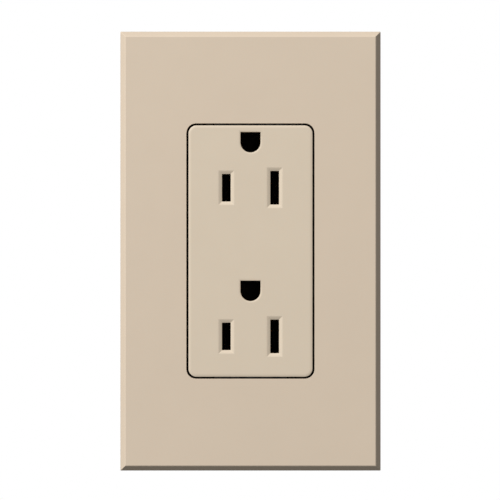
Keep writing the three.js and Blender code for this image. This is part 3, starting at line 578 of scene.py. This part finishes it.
def eased_edge(fall_width, fall=EDGE_FALL, radius=EDGE_ROUND):
    """Pairs of (inset from the side, depth below the face), from the face down to the side."""
    slope = math.atan(2 * fall / fall_width)
    start = radius * (1 - math.sin(slope))
    steps = [(start + fall_width * (1 - u), fall * u * u) for u in (0, 0.2, 0.4, 0.6, 0.8, 1)]
    for i in range(1, 6):
        t = slope + (math.pi / 2 - slope) * i / 5
        steps.append((radius * (1 - math.sin(t)), fall + radius * (math.cos(slope) - math.cos(t))))
    return steps


def plate_skin():
    """One continuous skin: skirt, mitred edge, front, opening, collar, and back again inside."""
    bevel_back = PLATE_FRONT + PLATE_BEVEL_DEPTH
    skin_back = PLATE_FRONT + PLATE_SKIN
    rings = [
        plate_ring(0.12, 0), plate_ring(0.03, -0.04), plate_ring(0, -0.15),
        plate_ring(0, bevel_back + SKIRT_ROUND), plate_ring(0.03, bevel_back + SKIRT_ROUND * 0.35),
        plate_ring(0.10, bevel_back - SKIRT_ROUND * 0.3),
    ]
    start = PLATE_BEVEL - FRONT_ROUND.outer
    for u in (0, 0.2, 0.4, 0.6, 0.8, 1):
        y = PLATE_FRONT + FRONT_ROUND.depth * (1 - u) ** 2
        rings.append(plate_ring(start + FRONT_ROUND.width * u, y, 0.08))
    for grow, depth in fillet(5):
        rings.append(opening_ring(OPENING_ROUND * grow, PLATE_FRONT + OPENING_ROUND * depth))
    rings += [
        opening_ring(0, COLLAR_BACK - COLLAR_ROUND), opening_ring(COLLAR_ROUND, COLLAR_BACK),
        opening_ring(COLLAR_WALL - COLLAR_ROUND, COLLAR_BACK),
        opening_ring(COLLAR_WALL, COLLAR_BACK - COLLAR_ROUND), opening_ring(COLLAR_WALL, skin_back),
        plate_ring(PLATE_WALL + 0.6, skin_back, INNER_CORNER),
        plate_ring(PLATE_WALL + 0.1, skin_back + 0.3, INNER_CORNER),
        plate_ring(PLATE_WALL, skin_back + 0.9, INNER_CORNER), plate_ring(PLATE_WALL, -0.15, INNER_CORNER),
        plate_ring(PLATE_WALL - 0.15, 0, INNER_CORNER),
    ]
    return loft(rings, closed=True)


def hooks_and_ribs():
    """Hooks that snap over the adapter's edge, and stiffening ribs on the back of the front wall."""
    inner_x = (ADAPTER_HIGH[0] - ADAPTER_LOW[0]) / 2 + HOOK.gap
    inner_z = (ADAPTER_HIGH[2] - ADAPTER_LOW[2]) / 2 + HOOK.gap
    half, thickness, depths = HOOK.half, HOOK.thickness, (HOOK.root, HOOK.back)
    bump_half, height, root = HOOK_BUMP.half, HOOK_BUMP.height, HOOK_BUMP.root
    parts = []
    for side in SIDES.values():
        for end in ENDS.values():
            leaf = [(depths[0], -half), (depths[1], -half), (depths[1], half), (depths[0], half)]
            shape = [(y, z + end * HOOK.z) for y, z in leaf]
            parts.append(prism(shape, "side", side * inner_x, side * (inner_x + thickness)))
            foot, crest = BUMP_SLOPES.foot, BUMP_SLOPES.crest
            nose = [(foot[0], root), (crest[0], -height), (crest[1], -height), (foot[1], root)]
            bead = [(side * (inner_x + x), y) for y, x in nose]
            parts.append(prism(bead, "top", *span(bump_half, end * HOOK.z)))
    for end in ENDS.values():
        parts.append(block(span(half), depths, between(end, inner_z, inner_z + thickness)))
        parts.append(block(span(bump_half), (HOOK_BUMP.front, HOOK_BUMP.back),
                           between(end, inner_z - height, inner_z + root)))
        for x in span(COVER_RIB.x):
            parts.append(block(span(COVER_RIB.half, x), (COVER_RIB.front, COVER_RIB.back),
                               between(end, COVER_RIB.inner, COVER_RIB.outer)))
    return parts


def cover_plate():
    """The plate's skin with its hooks and ribs, and a notch in its bottom rim to pry it off."""
    half, top_half = PRY_NOTCH.half, PRY_NOTCH.top_half
    low, high = PLATE_LOW[2] - 1, PLATE_LOW[2] + PRY_NOTCH.height
    notch = [(-half, low), (half, low), (top_half, high), (-top_half, high)]
    plate = plate_skin()
    cleaned(carved(plate, hooks_and_ribs(), [prism(notch, "front", -PRY_NOTCH.depth, 1)]))
    return sharp_shaded(plate)


# -------- receptacle


def slot_cutter(x, z, height):
    """A blade slot with its sunken, mitred lead-in, which curves down more steeply towards the slot."""
    steps = [(LEAD_IN, -0.3)]
    for u in (0, 0.1, 0.25, 0.4, 0.6, 0.8, 1):
        steps.append((LEAD_IN * (1 - u), LEAD_IN_DEPTH * u ** LEAD_IN_CURVE))
    steps += [(0.0, LEAD_IN_DEPTH + 0.1), (0.0, 1 - FACE_FRONT)]
    rings = []
    for grow, depth in steps:
        outline = rounded(SLOT_WIDTH + 2 * grow, height + 2 * grow, SLOT_CORNER, (x, z), 3)
        rings.append(placed(outline, FACE_FRONT + depth))
    return loft(rings)


def ground_cutter(z):
    """A ground hole with its eased edge."""
    edge = eased_edge(HOLE_FALL_WIDTH, HOLE_FALL)
    steps = [(edge[0][0], -0.3), *edge, (0.0, 1 - FACE_FRONT)]
    return loft([placed(ground_outline(z, grow), FACE_FRONT + depth) for grow, depth in steps])


def face_ring(inset, y):
    """The face's outline at one depth, drawn in by inset."""
    outline = rounded(FACE_WIDTH - 2 * inset, FACE_HEIGHT - 2 * inset, FACE_CORNER - inset, steps=10)
    return placed(outline, y)


def receptacle_face():
    """The front moulding: a hollow shell with its slots and holes, guides behind them and screw bosses."""
    rings = [face_ring(0.1, 0), face_ring(0, -0.1)]
    for inset, depth in reversed(eased_edge(FACE_FALL_WIDTH)):
        rings.append(face_ring(inset, FACE_FRONT + depth))
    shell = loft(rings)
    skin_back = FACE_FRONT + FACE_SKIN
    hollow = rounded(FACE_WIDTH - 2 * FACE_WALL, FACE_HEIGHT - 2 * FACE_WALL, 1.1)
    carved(shell, (), [prism(hollow, "front", 1, skin_back)])
    root = skin_back - FACE_OVERLAP
    guides, cutters = [], []
    for level in LEVELS:
        guides.append(block(span(GUIDE.half), (root, GUIDE.back),
                            (BLADE_Z[level] - GUIDE.below, GROUND_Z[level] + GUIDE.above)))
        for name, side in SIDES.items():
            cutters.append(slot_cutter(side * BLADE_X, BLADE_Z[level], SLOT_HEIGHTS[name]))
        cutters.append(ground_cutter(GROUND_Z[level]))
    for side in SIDES.values():
        for end in ENDS.values():
            centre = (side * ASSEMBLY.x, 0, end * ASSEMBLY.z)
            guides.append(rod(ASSEMBLY.boss, root, 0, INWARDS, centre, 32))
            cutters.append(rod(ASSEMBLY.pilot, ASSEMBLY.pilot_front, 1, INWARDS, centre, 32))
    cutters.append(block(span(STRAP_HALF_WIDTH + 0.3), (-STRAP_THICKNESS, 1), span(WEB.reach)))
    cleaned(carved(shell, guides, cutters))
    return sharp_shaded(shell)


def body_shell():
    """The stepped outside of the rear body: narrower behind its shoulder, with a sloped back edge."""
    shoulder, step, edge = BODY.shoulder, BODY.step, BODY.edge
    profile = [
        (step + edge, BODY_DEPTH), (step, BODY_DEPTH - edge), (step, shoulder + BODY.slope),
        (0, shoulder), (0, 0),
    ]
    rings = []
    for inset, y in profile:
        outline = rounded(BODY.width - 2 * inset, BODY.height - 2 * inset, BODY.corner)
        rings.append(placed(outline, y))
    return loft(rings)


def contact_room(side, level):
    """Cutters for one blade's chamber, with the way from there to its terminal."""
    end, z = LEVELS[level], BLADE_Z[level]
    depths = (-1, CHAMBER.back)
    return [
        block(between(side, CHAMBER.inner, CHAMBER.outer), depths, span(CHAMBER.half, z)),
        block(between(side, BUS.inner, BUS.outer), depths,
              sorted((end * BUS.near, z + end * CHAMBER.half))),
        block(between(side, BUS.inner, BUS.bay), depths, between(end, BUS.near, BAY.far)),
    ]


def screw_and_wire_holes(side, end):
    """Cutters for one assembly screw's sunken hole and the two back-wire holes beside a terminal."""
    centre = (side * ASSEMBLY.x, 0, end * ASSEMBLY.z)
    holes = [
        rod(ASSEMBLY.pilot, -1, 26, INWARDS, centre, 28),
        rod(ASSEMBLY.boss, BODY_DEPTH - ASSEMBLY.sunk, 26, INWARDS, centre, 32),
    ]
    radius = WIRE_HOLE.radius
    profile = [
        (radius, WIRE_HOLE.front), (radius, BODY_DEPTH - BODY.edge),
        (WIRE_HOLE.mouth, BODY_DEPTH + 0.1),
    ]
    for shift in span(WIRE_HOLE.offset):
        wire = (side * WIRE_HOLE.x, 0, end * TERMINAL_Z + shift)
        holes.append(turned(profile, INWARDS, wire, 28))
    return holes


def rear_body():
    """The dark rear moulding: chambers for the contacts, terminal bays, blade stops and a front flange."""
    cutters, bars = [], []
    for side in SIDES.values():
        tall = span(BAY.far)
        cutters.append(block(between(side, BAY.inner, 20), (BAY.front, BAY.back), tall))
        cutters.append(block(between(side, BAY.inner, BAY.channel), (-1, BAY.channel_back), tall))
        for level, end in LEVELS.items():
            cutters += contact_room(side, level)
            bars.append(block(span(BLADE_STOP.half, side * BLADE_X), (BLADE_STOP.front, BLADE_STOP.back),
                              span(BLADE_STOP.reach, BLADE_Z[level])))
            cutters += screw_and_wire_holes(side, end)
            bars.append(block(between(side, BAY.channel, BODY.width / 2),
                              (BARRIER.front, BARRIER.back),
                              between(end, BARRIER.near, BARRIER.far)))
    for z in GROUND_Z.values():
        cutters.append(block(span(GROUND_CHAMBER.half), (-1, GROUND_CHAMBER.back),
                             (z - GROUND_CHAMBER.below, z + GROUND_CHAMBER.above)))
    cutters.append(block((TAB_ROOM.x, 20), (FLANGE.thickness, 30), (TAB_ROOM.z, 40)))
    cutters.append(block((TAB.inner - TAB_ROOM.gap, TAB.outer + TAB_ROOM.gap),
                         (-1, TAB_ROOM.slot_back), (TAB_ROOM.slot_z, 40)))
    cutters.append(block(span(STRIP_GAUGE.half), (BODY_DEPTH - STRIP_GAUGE.depth, 30),
                         span(STRIP_GAUGE.half_height)))
    for end in ENDS.values():
        cutters.append(prism(panel(RECESS, (0, end * RECESS.z)), "front", BODY_DEPTH - RECESS.depth, 30))
    shell = body_shell()
    carved(shell, [prism(panel(FLANGE), "front", 0, FLANGE.thickness)], cutters)
    cleaned(carved(shell, bars))
    return soften(shell, 0.16)


def plaster_ears(end):
    """One end of the strap: its head and two ears, and the cutters of the lines that they break at."""
    half_length, ear_half = STRAP_HIGH[2], -STRAP_LOW[0]
    depths = (-STRAP_THICKNESS, 0)
    neck = STRAP_NECK.start
    head = rounded(2 * STRAP_HALF_WIDTH, half_length - neck, STRAP_NECK.corner,
                   (0, end * (neck + half_length) / 2))
    parts, cutters = [prism(head, "front", *depths)], []
    width = ear_half - STRAP_HALF_WIDTH + EAR.overlap
    middle_x = (ear_half + STRAP_HALF_WIDTH - EAR.overlap) / 2
    middle_z = end * (half_length + EAR.start) / 2
    for side in SIDES.values():
        ear = rounded(width, half_length - EAR.start, EAR.corner, (side * middle_x, middle_z))
        parts.append(prism(ear, "front", *depths))
        x = side * (STRAP_HALF_WIDTH + SCORE.gap)
        low, high = span(SCORE.half, x)
        mouth = -STRAP_THICKNESS - 0.01
        groove = [(low, -2), (high, -2), (high, mouth), (x, SCORE.depth - STRAP_THICKNESS), (low, mouth)]
        cutters.append(prism(groove, "top", *between(end, EAR.start - 1, 60)))
        for z in EAR.holes:
            cutters.append(prism(rounded(1.6, 3.0, 0.7, (x, end * z)), "front", -3, 3))
    return parts, cutters


def ground_tab():
    """The arm that bends back from the strap's edge, and the plate on it for the ground screw."""
    inner, outer, half, bend = TAB.inner, TAB.outer, TAB.half, TAB_ARM.bend
    root = STRAP_HALF_WIDTH - 1
    outline = []
    for i in range(9):
        t = math.pi / 2 * i / 8
        outline.append((outer - bend + bend * math.sin(t), -STRAP_THICKNESS + bend - bend * math.cos(t)))
    outline += [
        (outer, TAB_ARM.back), (inner, TAB_ARM.back), (inner, 0.3), (inner - 0.3, 0),
        (root, 0), (root, -STRAP_THICKNESS),
    ]
    plate = rounded(2 * half, 2 * half, TAB.corner, (TAB.y, TAB.z))
    return [prism(outline, "top", TAB_ARM.low, TAB_ARM.high), prism(plate, "side", inner, outer)]


def mounting_strap():
    """The steel strap, with a pad behind each ground hole, ears at both ends and the ground tab."""
    parts, cutters = [], []
    for z in GROUND_Z.values():
        parts.append(prism(panel(PAD, (0, z - PAD.drop)), "front", -STRAP_THICKNESS, 0))
    for end in ENDS.values():
        ears, lines = plaster_ears(end)
        parts += ears
        cutters += lines
        cutters.append(prism(panel(MOUNTING_HOLE, (0, end * MOUNTING_Z), 10), "front", -3, 3))
        cutters.append(rod(HOLE_6, -3, 3, INWARDS, (0, 0, end * PLATE_SCREW_Z)))
    parts += ground_tab()
    cutters.append(rod(HOLE_6, 5, 20, (1, 0, 0), (0, TAB.y, TAB.z)))
    for z in GROUND_Z.values():
        cutters.append(prism(ground_outline(z, PIN_CLEARANCE), "front", -3, 3))
        cutters.append(rod(RIVET_HOLE, -3, 3, INWARDS, (0, 0, z - RIVET_DROP)))
    strap = block(span(WEB.half), (-STRAP_THICKNESS, 0), span(WEB.reach))
    cleaned(carved(strap, parts, cutters))
    return soften(strap, 0.14)


def adapter_plate():
    """The sub-plate that the cover snaps onto: a sheet with a rail in front, a rim behind and two ribs."""
    width = ADAPTER_HIGH[0] - ADAPTER_LOW[0]
    height = ADAPTER_HIGH[2] - ADAPTER_LOW[2]
    outline = rounded(width, height, ADAPTER_CORNER)
    sheet = prism(outline, "front", ADAPTER_FRONT, -STRAP_THICKNESS)
    rail = prism(outline, "front", ADAPTER_LOW[1], ADAPTER_FRONT + JOIN)
    inside = rounded(width - 2 * ADAPTER_RAIL, height - 2 * ADAPTER_RAIL, 1.0)
    carved(rail, (), [prism(inside, "front", -9, 0)])
    rim = prism(outline, "front", -STRAP_THICKNESS - JOIN, ADAPTER_HIGH[1])
    inside = rounded(width - 2 * ADAPTER_RIM.wall, height - 2 * ADAPTER_RIM.wall, 1.0)
    carved(rim, (), [prism(inside, "front", -9, 1), block(span(ADAPTER_RIM.clear), (-1.7, 1), (-60, 60))])
    ribs = []
    depths = (ADAPTER_FRONT - ADAPTER_RIB.height, ADAPTER_FRONT + JOIN)
    for x in span(ADAPTER_RIB.x):
        ribs.append(block(span(ADAPTER_RIB.half, x), depths, span(height / 2 - 1)))
    cutters = [prism(panel(ADAPTER_OPENING), "front", -9, 1)]
    for end in ENDS.values():
        cutters.append(block(span(ADAPTER_GAP.half), (-9, 1),
                             between(end, ADAPTER_GAP.near, MOUNTING_Z + ADAPTER_GAP.past_screw)))
        sink = [(3.1, -9), (3.1, ADAPTER_FRONT + 0.3), (2.1, ADAPTER_FRONT + 1.4), (2.1, 1)]
        cutters.append(turned(sink, INWARDS, (0, 0, end * PLATE_SCREW_Z)))
    for side in SIDES.values():
        cutters.append(prism(panel(ADAPTER_WINDOW, (side * ADAPTER_WINDOW.x, 0)), "front", -9, 1))
    cleaned(carved(sheet, [rail, rim, *ribs], cutters))
    return soften(sheet, 0.12)


# -------- contacts


def strip_leaf(x, side, offsets, low, high):
    """A sprung leaf drawn from above: its inner face is a smooth run through offset and depth pairs."""
    fine = []
    for (a, y0), (b, y1) in zip(offsets, offsets[1:]):
        for i in range(4):
            t = i / 4
            smooth = t * t * (3 - 2 * t)
            fine.append((a + (b - a) * smooth, y0 + (y1 - y0) * t))
    fine.append(offsets[-1])
    outer = [(offset + LEAF_THICKNESS, y) for offset, y in reversed(fine)]
    return prism([(x + side * offset, y) for offset, y in fine + outer], "top", low, high)


def line_contact(name):
    """One side's strip: a clip and a terminal pad for each outlet, with the break-off tab between."""
    side = SIDES[name]
    half = SLOT_HEIGHTS[name] / 2 - 0.1
    base = BASE_BAR.depths
    pad = between(side, TERMINAL_PAD.inner, TERMINAL_PAD.outer)
    parts = []
    for level, end in LEVELS.items():
        z = BLADE_Z[level]
        for way in (-1, 1):
            parts.append(strip_leaf(side * BLADE_X, way, CLIP_LEAF, *span(half, z)))
        parts.append(block(between(side, BASE_BAR.inner, BASE_BAR.outer), base, span(half, z)))
        parts.append(block(between(side, BUS_BAR.inner, BASE_BAR.outer), base,
                           sorted((end * BUS_BAR.near, z + end * half))))
        parts.append(block(between(side, BUS_BAR.inner, TERMINAL_PAD.outer), base,
                           between(end, BUS_BAR.near, BUS_BAR.far)))
        outline = panel(TERMINAL_PAD, (TERMINAL_PAD.y, end * TERMINAL_PAD.z))
        parts.append(prism(outline, "side", side * TERMINAL_PAD.inner, side * TERMINAL_PAD.outer))
    parts.append(block(pad, BREAK_OFF.tab, span(BREAK_OFF.tab_half)))
    strip = block(pad, BREAK_OFF.neck, span(BREAK_OFF.neck_half))
    cutters = [rod(BREAK_OFF.hole, 5, 20, (side, 0, 0), (0, TERMINAL_PAD.y, 0))]
    for end in ENDS.values():
        cutters.append(rod(HOLE_8, 5, 20, (side, 0, 0), (0, TERMINAL_Y, end * TERMINAL_Z)))
    cleaned(carved(strip, parts, cutters))
    return soften(strip, 0.08)


def ground_contact(level):
    """A brass fork: two leaves that grip the ground pin, on a base that is riveted to the strap."""
    z = GROUND_Z[level]
    parts = [strip_leaf(0, way, FORK_LEAF, *span(FORK_HALF, z)) for way in (-1, 1)]
    plate = prism(panel(FORK_BASE, (0, z - FORK_BASE.drop)), "front", 0, FORK_BASE.thickness)
    half = FORK_LEAF[0][0]
    cutters = [prism(ground_outline(z, half - GROUND_WIDTH / 2), "front", -1, 2),
               block(span(half), (-1, 2), (z, z + 9)),
               rod(RIVET_HOLE, -1, 2, INWARDS, (0, 0, z - RIVET_DROP))]
    cleaned(carved(carved(plate, (), cutters), parts))
    return soften(plate, 0.05)


def ground_rivet(level):
    """A rivet with a domed head in front of the strap and a rolled foot behind the fork's base."""
    dome = [(0.5, -1.95), (1.05, -1.88), (1.5, -1.7), (1.67, -1.5), (1.7, -1.3)]
    foot = [(1.0, -1.3), (1.0, 0.8), (1.5, 0.8), (1.55, 0.9), (1.5, 1.15), (1.2, 1.33), (0.6, 1.4)]
    return soften(turned(dome + foot, INWARDS, (0, 0, GROUND_Z[level] - RIVET_DROP), 32), 0)


# -------- screws and clamps


def threaded(radius, pitch, length, start=0.7):
    """Rings of a right-hand thread from under the head to a pointed end, as (along, radius function)."""
    tip = length - radius * 0.6

    def surface(angle, along):
        turn = (along / pitch - angle / (2 * math.pi)) % 1
        crest = min(1.0, max(0.0, 1.6 - abs(turn - 0.5) * 4.2))
        fade = min(1.0, max(0.0, (along - start) / pitch))
        cone = radius - max(0.0, along - tip)
        return min(radius - pitch * 0.6 * fade * (1 - crest), cone)

    steps = int((length - start) / pitch * 8)
    return [(start + (length - start) * i / steps, surface) for i in range(steps + 1)]


def machine_screw(head, radius, length, axis, centre, pitch=THREAD_PITCH, sides=32):
    """A screw whose head is a list of (radius, height), from its rim at the seat to its top."""
    rings = [ring(r, -h, axis, centre, sides) for r, h in reversed(head)]
    rings.append(ring(radius, 0, axis, centre, sides))
    for along, surface in threaded(radius, pitch, length):
        rings.append(ring(radius, along, axis, centre, sides, surface))
    return loft(rings)


def domed(radius, rim, height, steps=5):
    """A head's profile: a short upright rim, then a low dome."""
    profile = [(radius - 0.1, 0), (radius, 0.1)]
    for i in range(steps + 1):
        t = math.radians(78) * i / steps
        profile.append((radius * math.cos(t), rim + (height - rim) * math.sin(t)))
    return profile


def recess(axis, centre, top, slot, cross, depth=1.0):
    """Cutters for a driver's recess: a slot as (half length, half width) or None, and a cross."""
    d = Vector(axis)
    u = Vector((0, 0, 1))
    v = d.cross(u)
    cutters = []

    def bar(half_length, half_width, along, across, deep, narrow=1.0):
        rings = []
        for height, share in ((-top - 0.5, 1.0), (-top + deep, narrow)):
            middle = Vector(centre) + d * height
            corners = [(-1, -1), (1, -1), (1, 1), (-1, 1)]
            rings.append([tuple(middle + along * (a * half_length * share)
                                + across * (b * half_width * share)) for a, b in corners])
        cutters.append(loft(rings))

    if slot:
        bar(slot[0], slot[1], v, u, depth * 0.75)
    bar(cross, 0.36, u, v, depth * 1.25, 0.45)
    bar(cross, 0.36, v, u, depth * 1.25, 0.45)
    return cutters


def finished_screw(screw, cutters):
    """The screw with its driver's recess cut."""
    return sharp_shaded(cleaned(carved(screw, (), cutters), flatten=False), 36)


def mounting_screw(end):
    centre = (0, -STRAP_THICKNESS, end * MOUNTING_Z)
    head = MOUNTING_SCREW.head
    screw = machine_screw(domed(*head), SCREW_6, MOUNTING_SCREW.length, INWARDS, centre)
    return finished_screw(screw, recess(INWARDS, centre, head[2], (3.4, 0.42), 1.7))


def mounting_washer(end):
    outline = rounded(WASHER.size, WASHER.size, WASHER.corner, (0, end * MOUNTING_Z), 8)
    washer = prism(outline, "front", WASHER.front, WASHER.back)
    cleaned(carved(washer, (), [rod(WASHER.hole, 0, 9, INWARDS, (0, 0, end * MOUNTING_Z))]))
    return soften(washer, 0.1)


def adapter_screw(end):
    """A flat-head screw: its head is flush with the adapter and tapers to the shank."""
    centre = (0, ADAPTER_FRONT, end * PLATE_SCREW_Z)
    head = [(1.2, 0.0), (2.7, 0.0), (2.85, 0.1), (2.85, 0.25), (SCREW_6, 1.35)]
    rings = [ring(r, along, INWARDS, centre, 32) for r, along in head]
    for along, surface in threaded(SCREW_6, THREAD_PITCH, ADAPTER_SCREW_LENGTH, 1.6):
        rings.append(ring(SCREW_6, along, INWARDS, centre, 32, surface))
    return finished_screw(loft(rings), recess(INWARDS, centre, 0, (3.2, 0.4), 1.6, 0.9))


def assembly_screw(side, end):
    centre = (side * ASSEMBLY.x, BODY_DEPTH - ASSEMBLY.sunk, end * ASSEMBLY.z)
    head = ASSEMBLY.head
    screw = machine_screw(
        domed(*head), ASSEMBLY.shank, ASSEMBLY.length, OUTWARDS, centre, ASSEMBLY.pitch)
    return finished_screw(screw, recess(OUTWARDS, centre, head[2], None, 1.5))


def terminal_screw(side, end):
    centre = (side * (TERMINAL_PAD.outer + CLAMP_THICKNESS), TERMINAL_Y, end * TERMINAL_Z)
    axis = (-side, 0, 0)
    head = TERMINAL_SCREW.head
    screw = machine_screw(domed(*head), SCREW_8, TERMINAL_SCREW.length, axis, centre, sides=40)
    return finished_screw(screw, recess(axis, centre, head[2], (4.4, 0.5), 1.9, 1.1))


def clamp_plate(side, end):
    """A wire clamp with a groove for a wire on each side of its screw."""
    outer = TERMINAL_PAD.outer
    outline = panel(CLAMP, (TERMINAL_Y, end * TERMINAL_Z))
    plate = prism(outline, "side", side * outer, side * (outer + CLAMP_THICKNESS))
    cutters = [rod(HOLE_8, 5, 20, (side, 0, 0), (0, TERMINAL_Y, end * TERMINAL_Z))]
    for shift in span(WIRE_HOLE.offset):
        place = (side * (outer - CLAMP.groove_in), 0, end * TERMINAL_Z + shift)
        cutters.append(rod(CLAMP.groove, -5, 20, INWARDS, place, 18))
    cleaned(carved(plate, (), cutters))
    return soften(plate, 0.1)


def ground_clamp():
    size = GROUND_CLAMP.size
    outline = rounded(size, size, GROUND_CLAMP.corner, (TAB.y, TAB.z))
    plate = prism(outline, "side", TAB.outer, TAB.outer + CLAMP_THICKNESS)
    cleaned(carved(plate, (), [rod(HOLE_6, 5, 20, (1, 0, 0), (0, TAB.y, TAB.z))]))
    return soften(plate, 0.14)


def ground_screw():
    """The green screw: a flanged hexagonal head with a driver's recess."""
    centre = (TAB.outer + CLAMP_THICKNESS, TAB.y, TAB.z)
    axis = (-1, 0, 0)
    flange = [(3.85, 0), (3.95, 0.1), (3.95, 0.75), (3.8, 0.9)]
    screw = machine_screw(flange, SCREW_6, GROUND_SCREW_LENGTH, axis, centre)
    hexagon = turned([(3.55, -0.5), (3.55, -2.75), (3.2, -3.0)], axis, centre, 6)
    carved(screw, [hexagon])
    return finished_screw(screw, recess(axis, centre, 3.0, (4.4, 0.5), 1.5, 1.1))


# -------- the whole outlet

stands_for("cover_plate", cover_plate())
stands_for("receptacle_face", receptacle_face())
stands_for("rear_body", rear_body())
stands_for("mounting_strap", mounting_strap())
stands_for("adapter_plate", adapter_plate())
stands_for("ground_clamp_plate", ground_clamp())
stands_for("ground_screw", ground_screw())
for side_name, side_sign in SIDES.items():
    stands_for(f"{side_name}_contact", line_contact(side_name))
    for level_name, level_sign in LEVELS.items():
        stands_for(f"{side_name}_terminal_screw_{level_name}", terminal_screw(side_sign, level_sign))
        stands_for(f"{side_name}_clamp_plate_{level_name}", clamp_plate(side_sign, level_sign))
        stands_for(f"assembly_screw_{side_name}_{level_name}", assembly_screw(side_sign, level_sign))
for level_name in LEVELS:
    stands_for(f"ground_contact_{level_name}", ground_contact(level_name))
    stands_for(f"ground_rivet_{level_name}", ground_rivet(level_name))
for end_name, end_sign in ENDS.items():
    stands_for(f"adapter_screw_{end_name}", adapter_screw(end_sign))
    stands_for(f"mounting_screw_{end_name}", mounting_screw(end_sign))
    stands_for(f"mounting_washer_{end_name}", mounting_washer(end_sign))

# -------- studio and camera

# metres
FRAME_HEIGHT = 0.13132  # what the view spans at the plate's front
CAMERA_DISTANCE = 1.6
CAMERA_SHIFT = (-0.00013, 0.00029)  # the camera's place sideways and upwards
FLOOR_BELOW = 3.0
FLOOR_HALF = 30.0
SENSOR_WIDTH = 36.0  # millimetres


def studio():
    """A white surround that lights only a little, and a pale floor well below the outlet."""
    world = bpy.data.worlds.new("studio")
    bpy.context.scene.world = world
    world.use_nodes = True
    tree = world.node_tree
    tree.nodes.clear()
    seen = tree.nodes.new("ShaderNodeBackground")
    seen.inputs["Color"].default_value = (1, 1, 1, 1)
    seen.inputs["Strength"].default_value = 1.0
    ambient = tree.nodes.new("ShaderNodeBackground")
    ambient.inputs["Color"].default_value = (0.98, 0.99, 1.0, 1)
    ambient.inputs["Strength"].default_value = 0.095
    path = tree.nodes.new("ShaderNodeLightPath")
    mix = tree.nodes.new("ShaderNodeMixShader")
    output = tree.nodes.new("ShaderNodeOutputWorld")
    tree.links.new(path.outputs["Is Camera Ray"], mix.inputs[0])
    tree.links.new(ambient.outputs[0], mix.inputs[1])
    tree.links.new(seen.outputs[0], mix.inputs[2])
    tree.links.new(mix.outputs[0], output.inputs["Surface"])
    half = FLOOR_HALF / MM
    corners = [(x * half, y * half, -FLOOR_BELOW / MM) for x, y in ((-1, -1), (1, -1), (1, 1), (-1, 1))]
    floor = made("floor", corners, [(0, 1, 2, 3)])
    pale, _, surface = shader("pale_floor")
    surface.inputs["Base Color"].default_value = (0.86, 0.86, 0.85, 1)
    surface.inputs["Roughness"].default_value = 0.9
    floor.data.materials.append(pale)


def softbox(name, direction, distance, size, power):
    """A square area light that looks at the outlet from a direction."""
    light = bpy.data.lights.new(name, "AREA")
    light.shape = "SQUARE"
    light.size = size
    light.energy = power
    lamp = bpy.data.objects.new(name, light)
    way = Vector(direction).normalized()
    lamp.location = way * distance
    lamp.rotation_mode = "QUATERNION"
    lamp.rotation_quaternion = way.to_track_quat("Z", "Y")
    bpy.context.scene.collection.objects.link(lamp)


def front_camera():
    """A long lens straight in front of the plate's centre."""
    data = bpy.data.cameras.new("camera")
    camera = bpy.data.objects.new("camera", data)
    data.sensor_width = SENSOR_WIDTH
    data.lens = SENSOR_WIDTH * CAMERA_DISTANCE / FRAME_HEIGHT
    data.clip_start = 0.05
    data.clip_end = 50
    camera.location = (CAMERA_SHIFT[0], PLATE_FRONT * MM - CAMERA_DISTANCE, CAMERA_SHIFT[1])
    camera.rotation_euler = (math.pi / 2, 0, 0)
    bpy.context.scene.collection.objects.link(camera)
    bpy.context.scene.camera = camera


studio()
softbox("key", (-0.73, -0.85, 0.76), 2.7, 0.5, 95.0)
softbox("side_fill", (1.0, -0.35, 0.3), 2.0, 0.9, 4.6)
softbox("back_fill", (0.7, 0.9, 0.5), 1.6, 0.8, 9.0)
front_camera()
bpy.context.scene.view_settings.view_transform = "Standard"
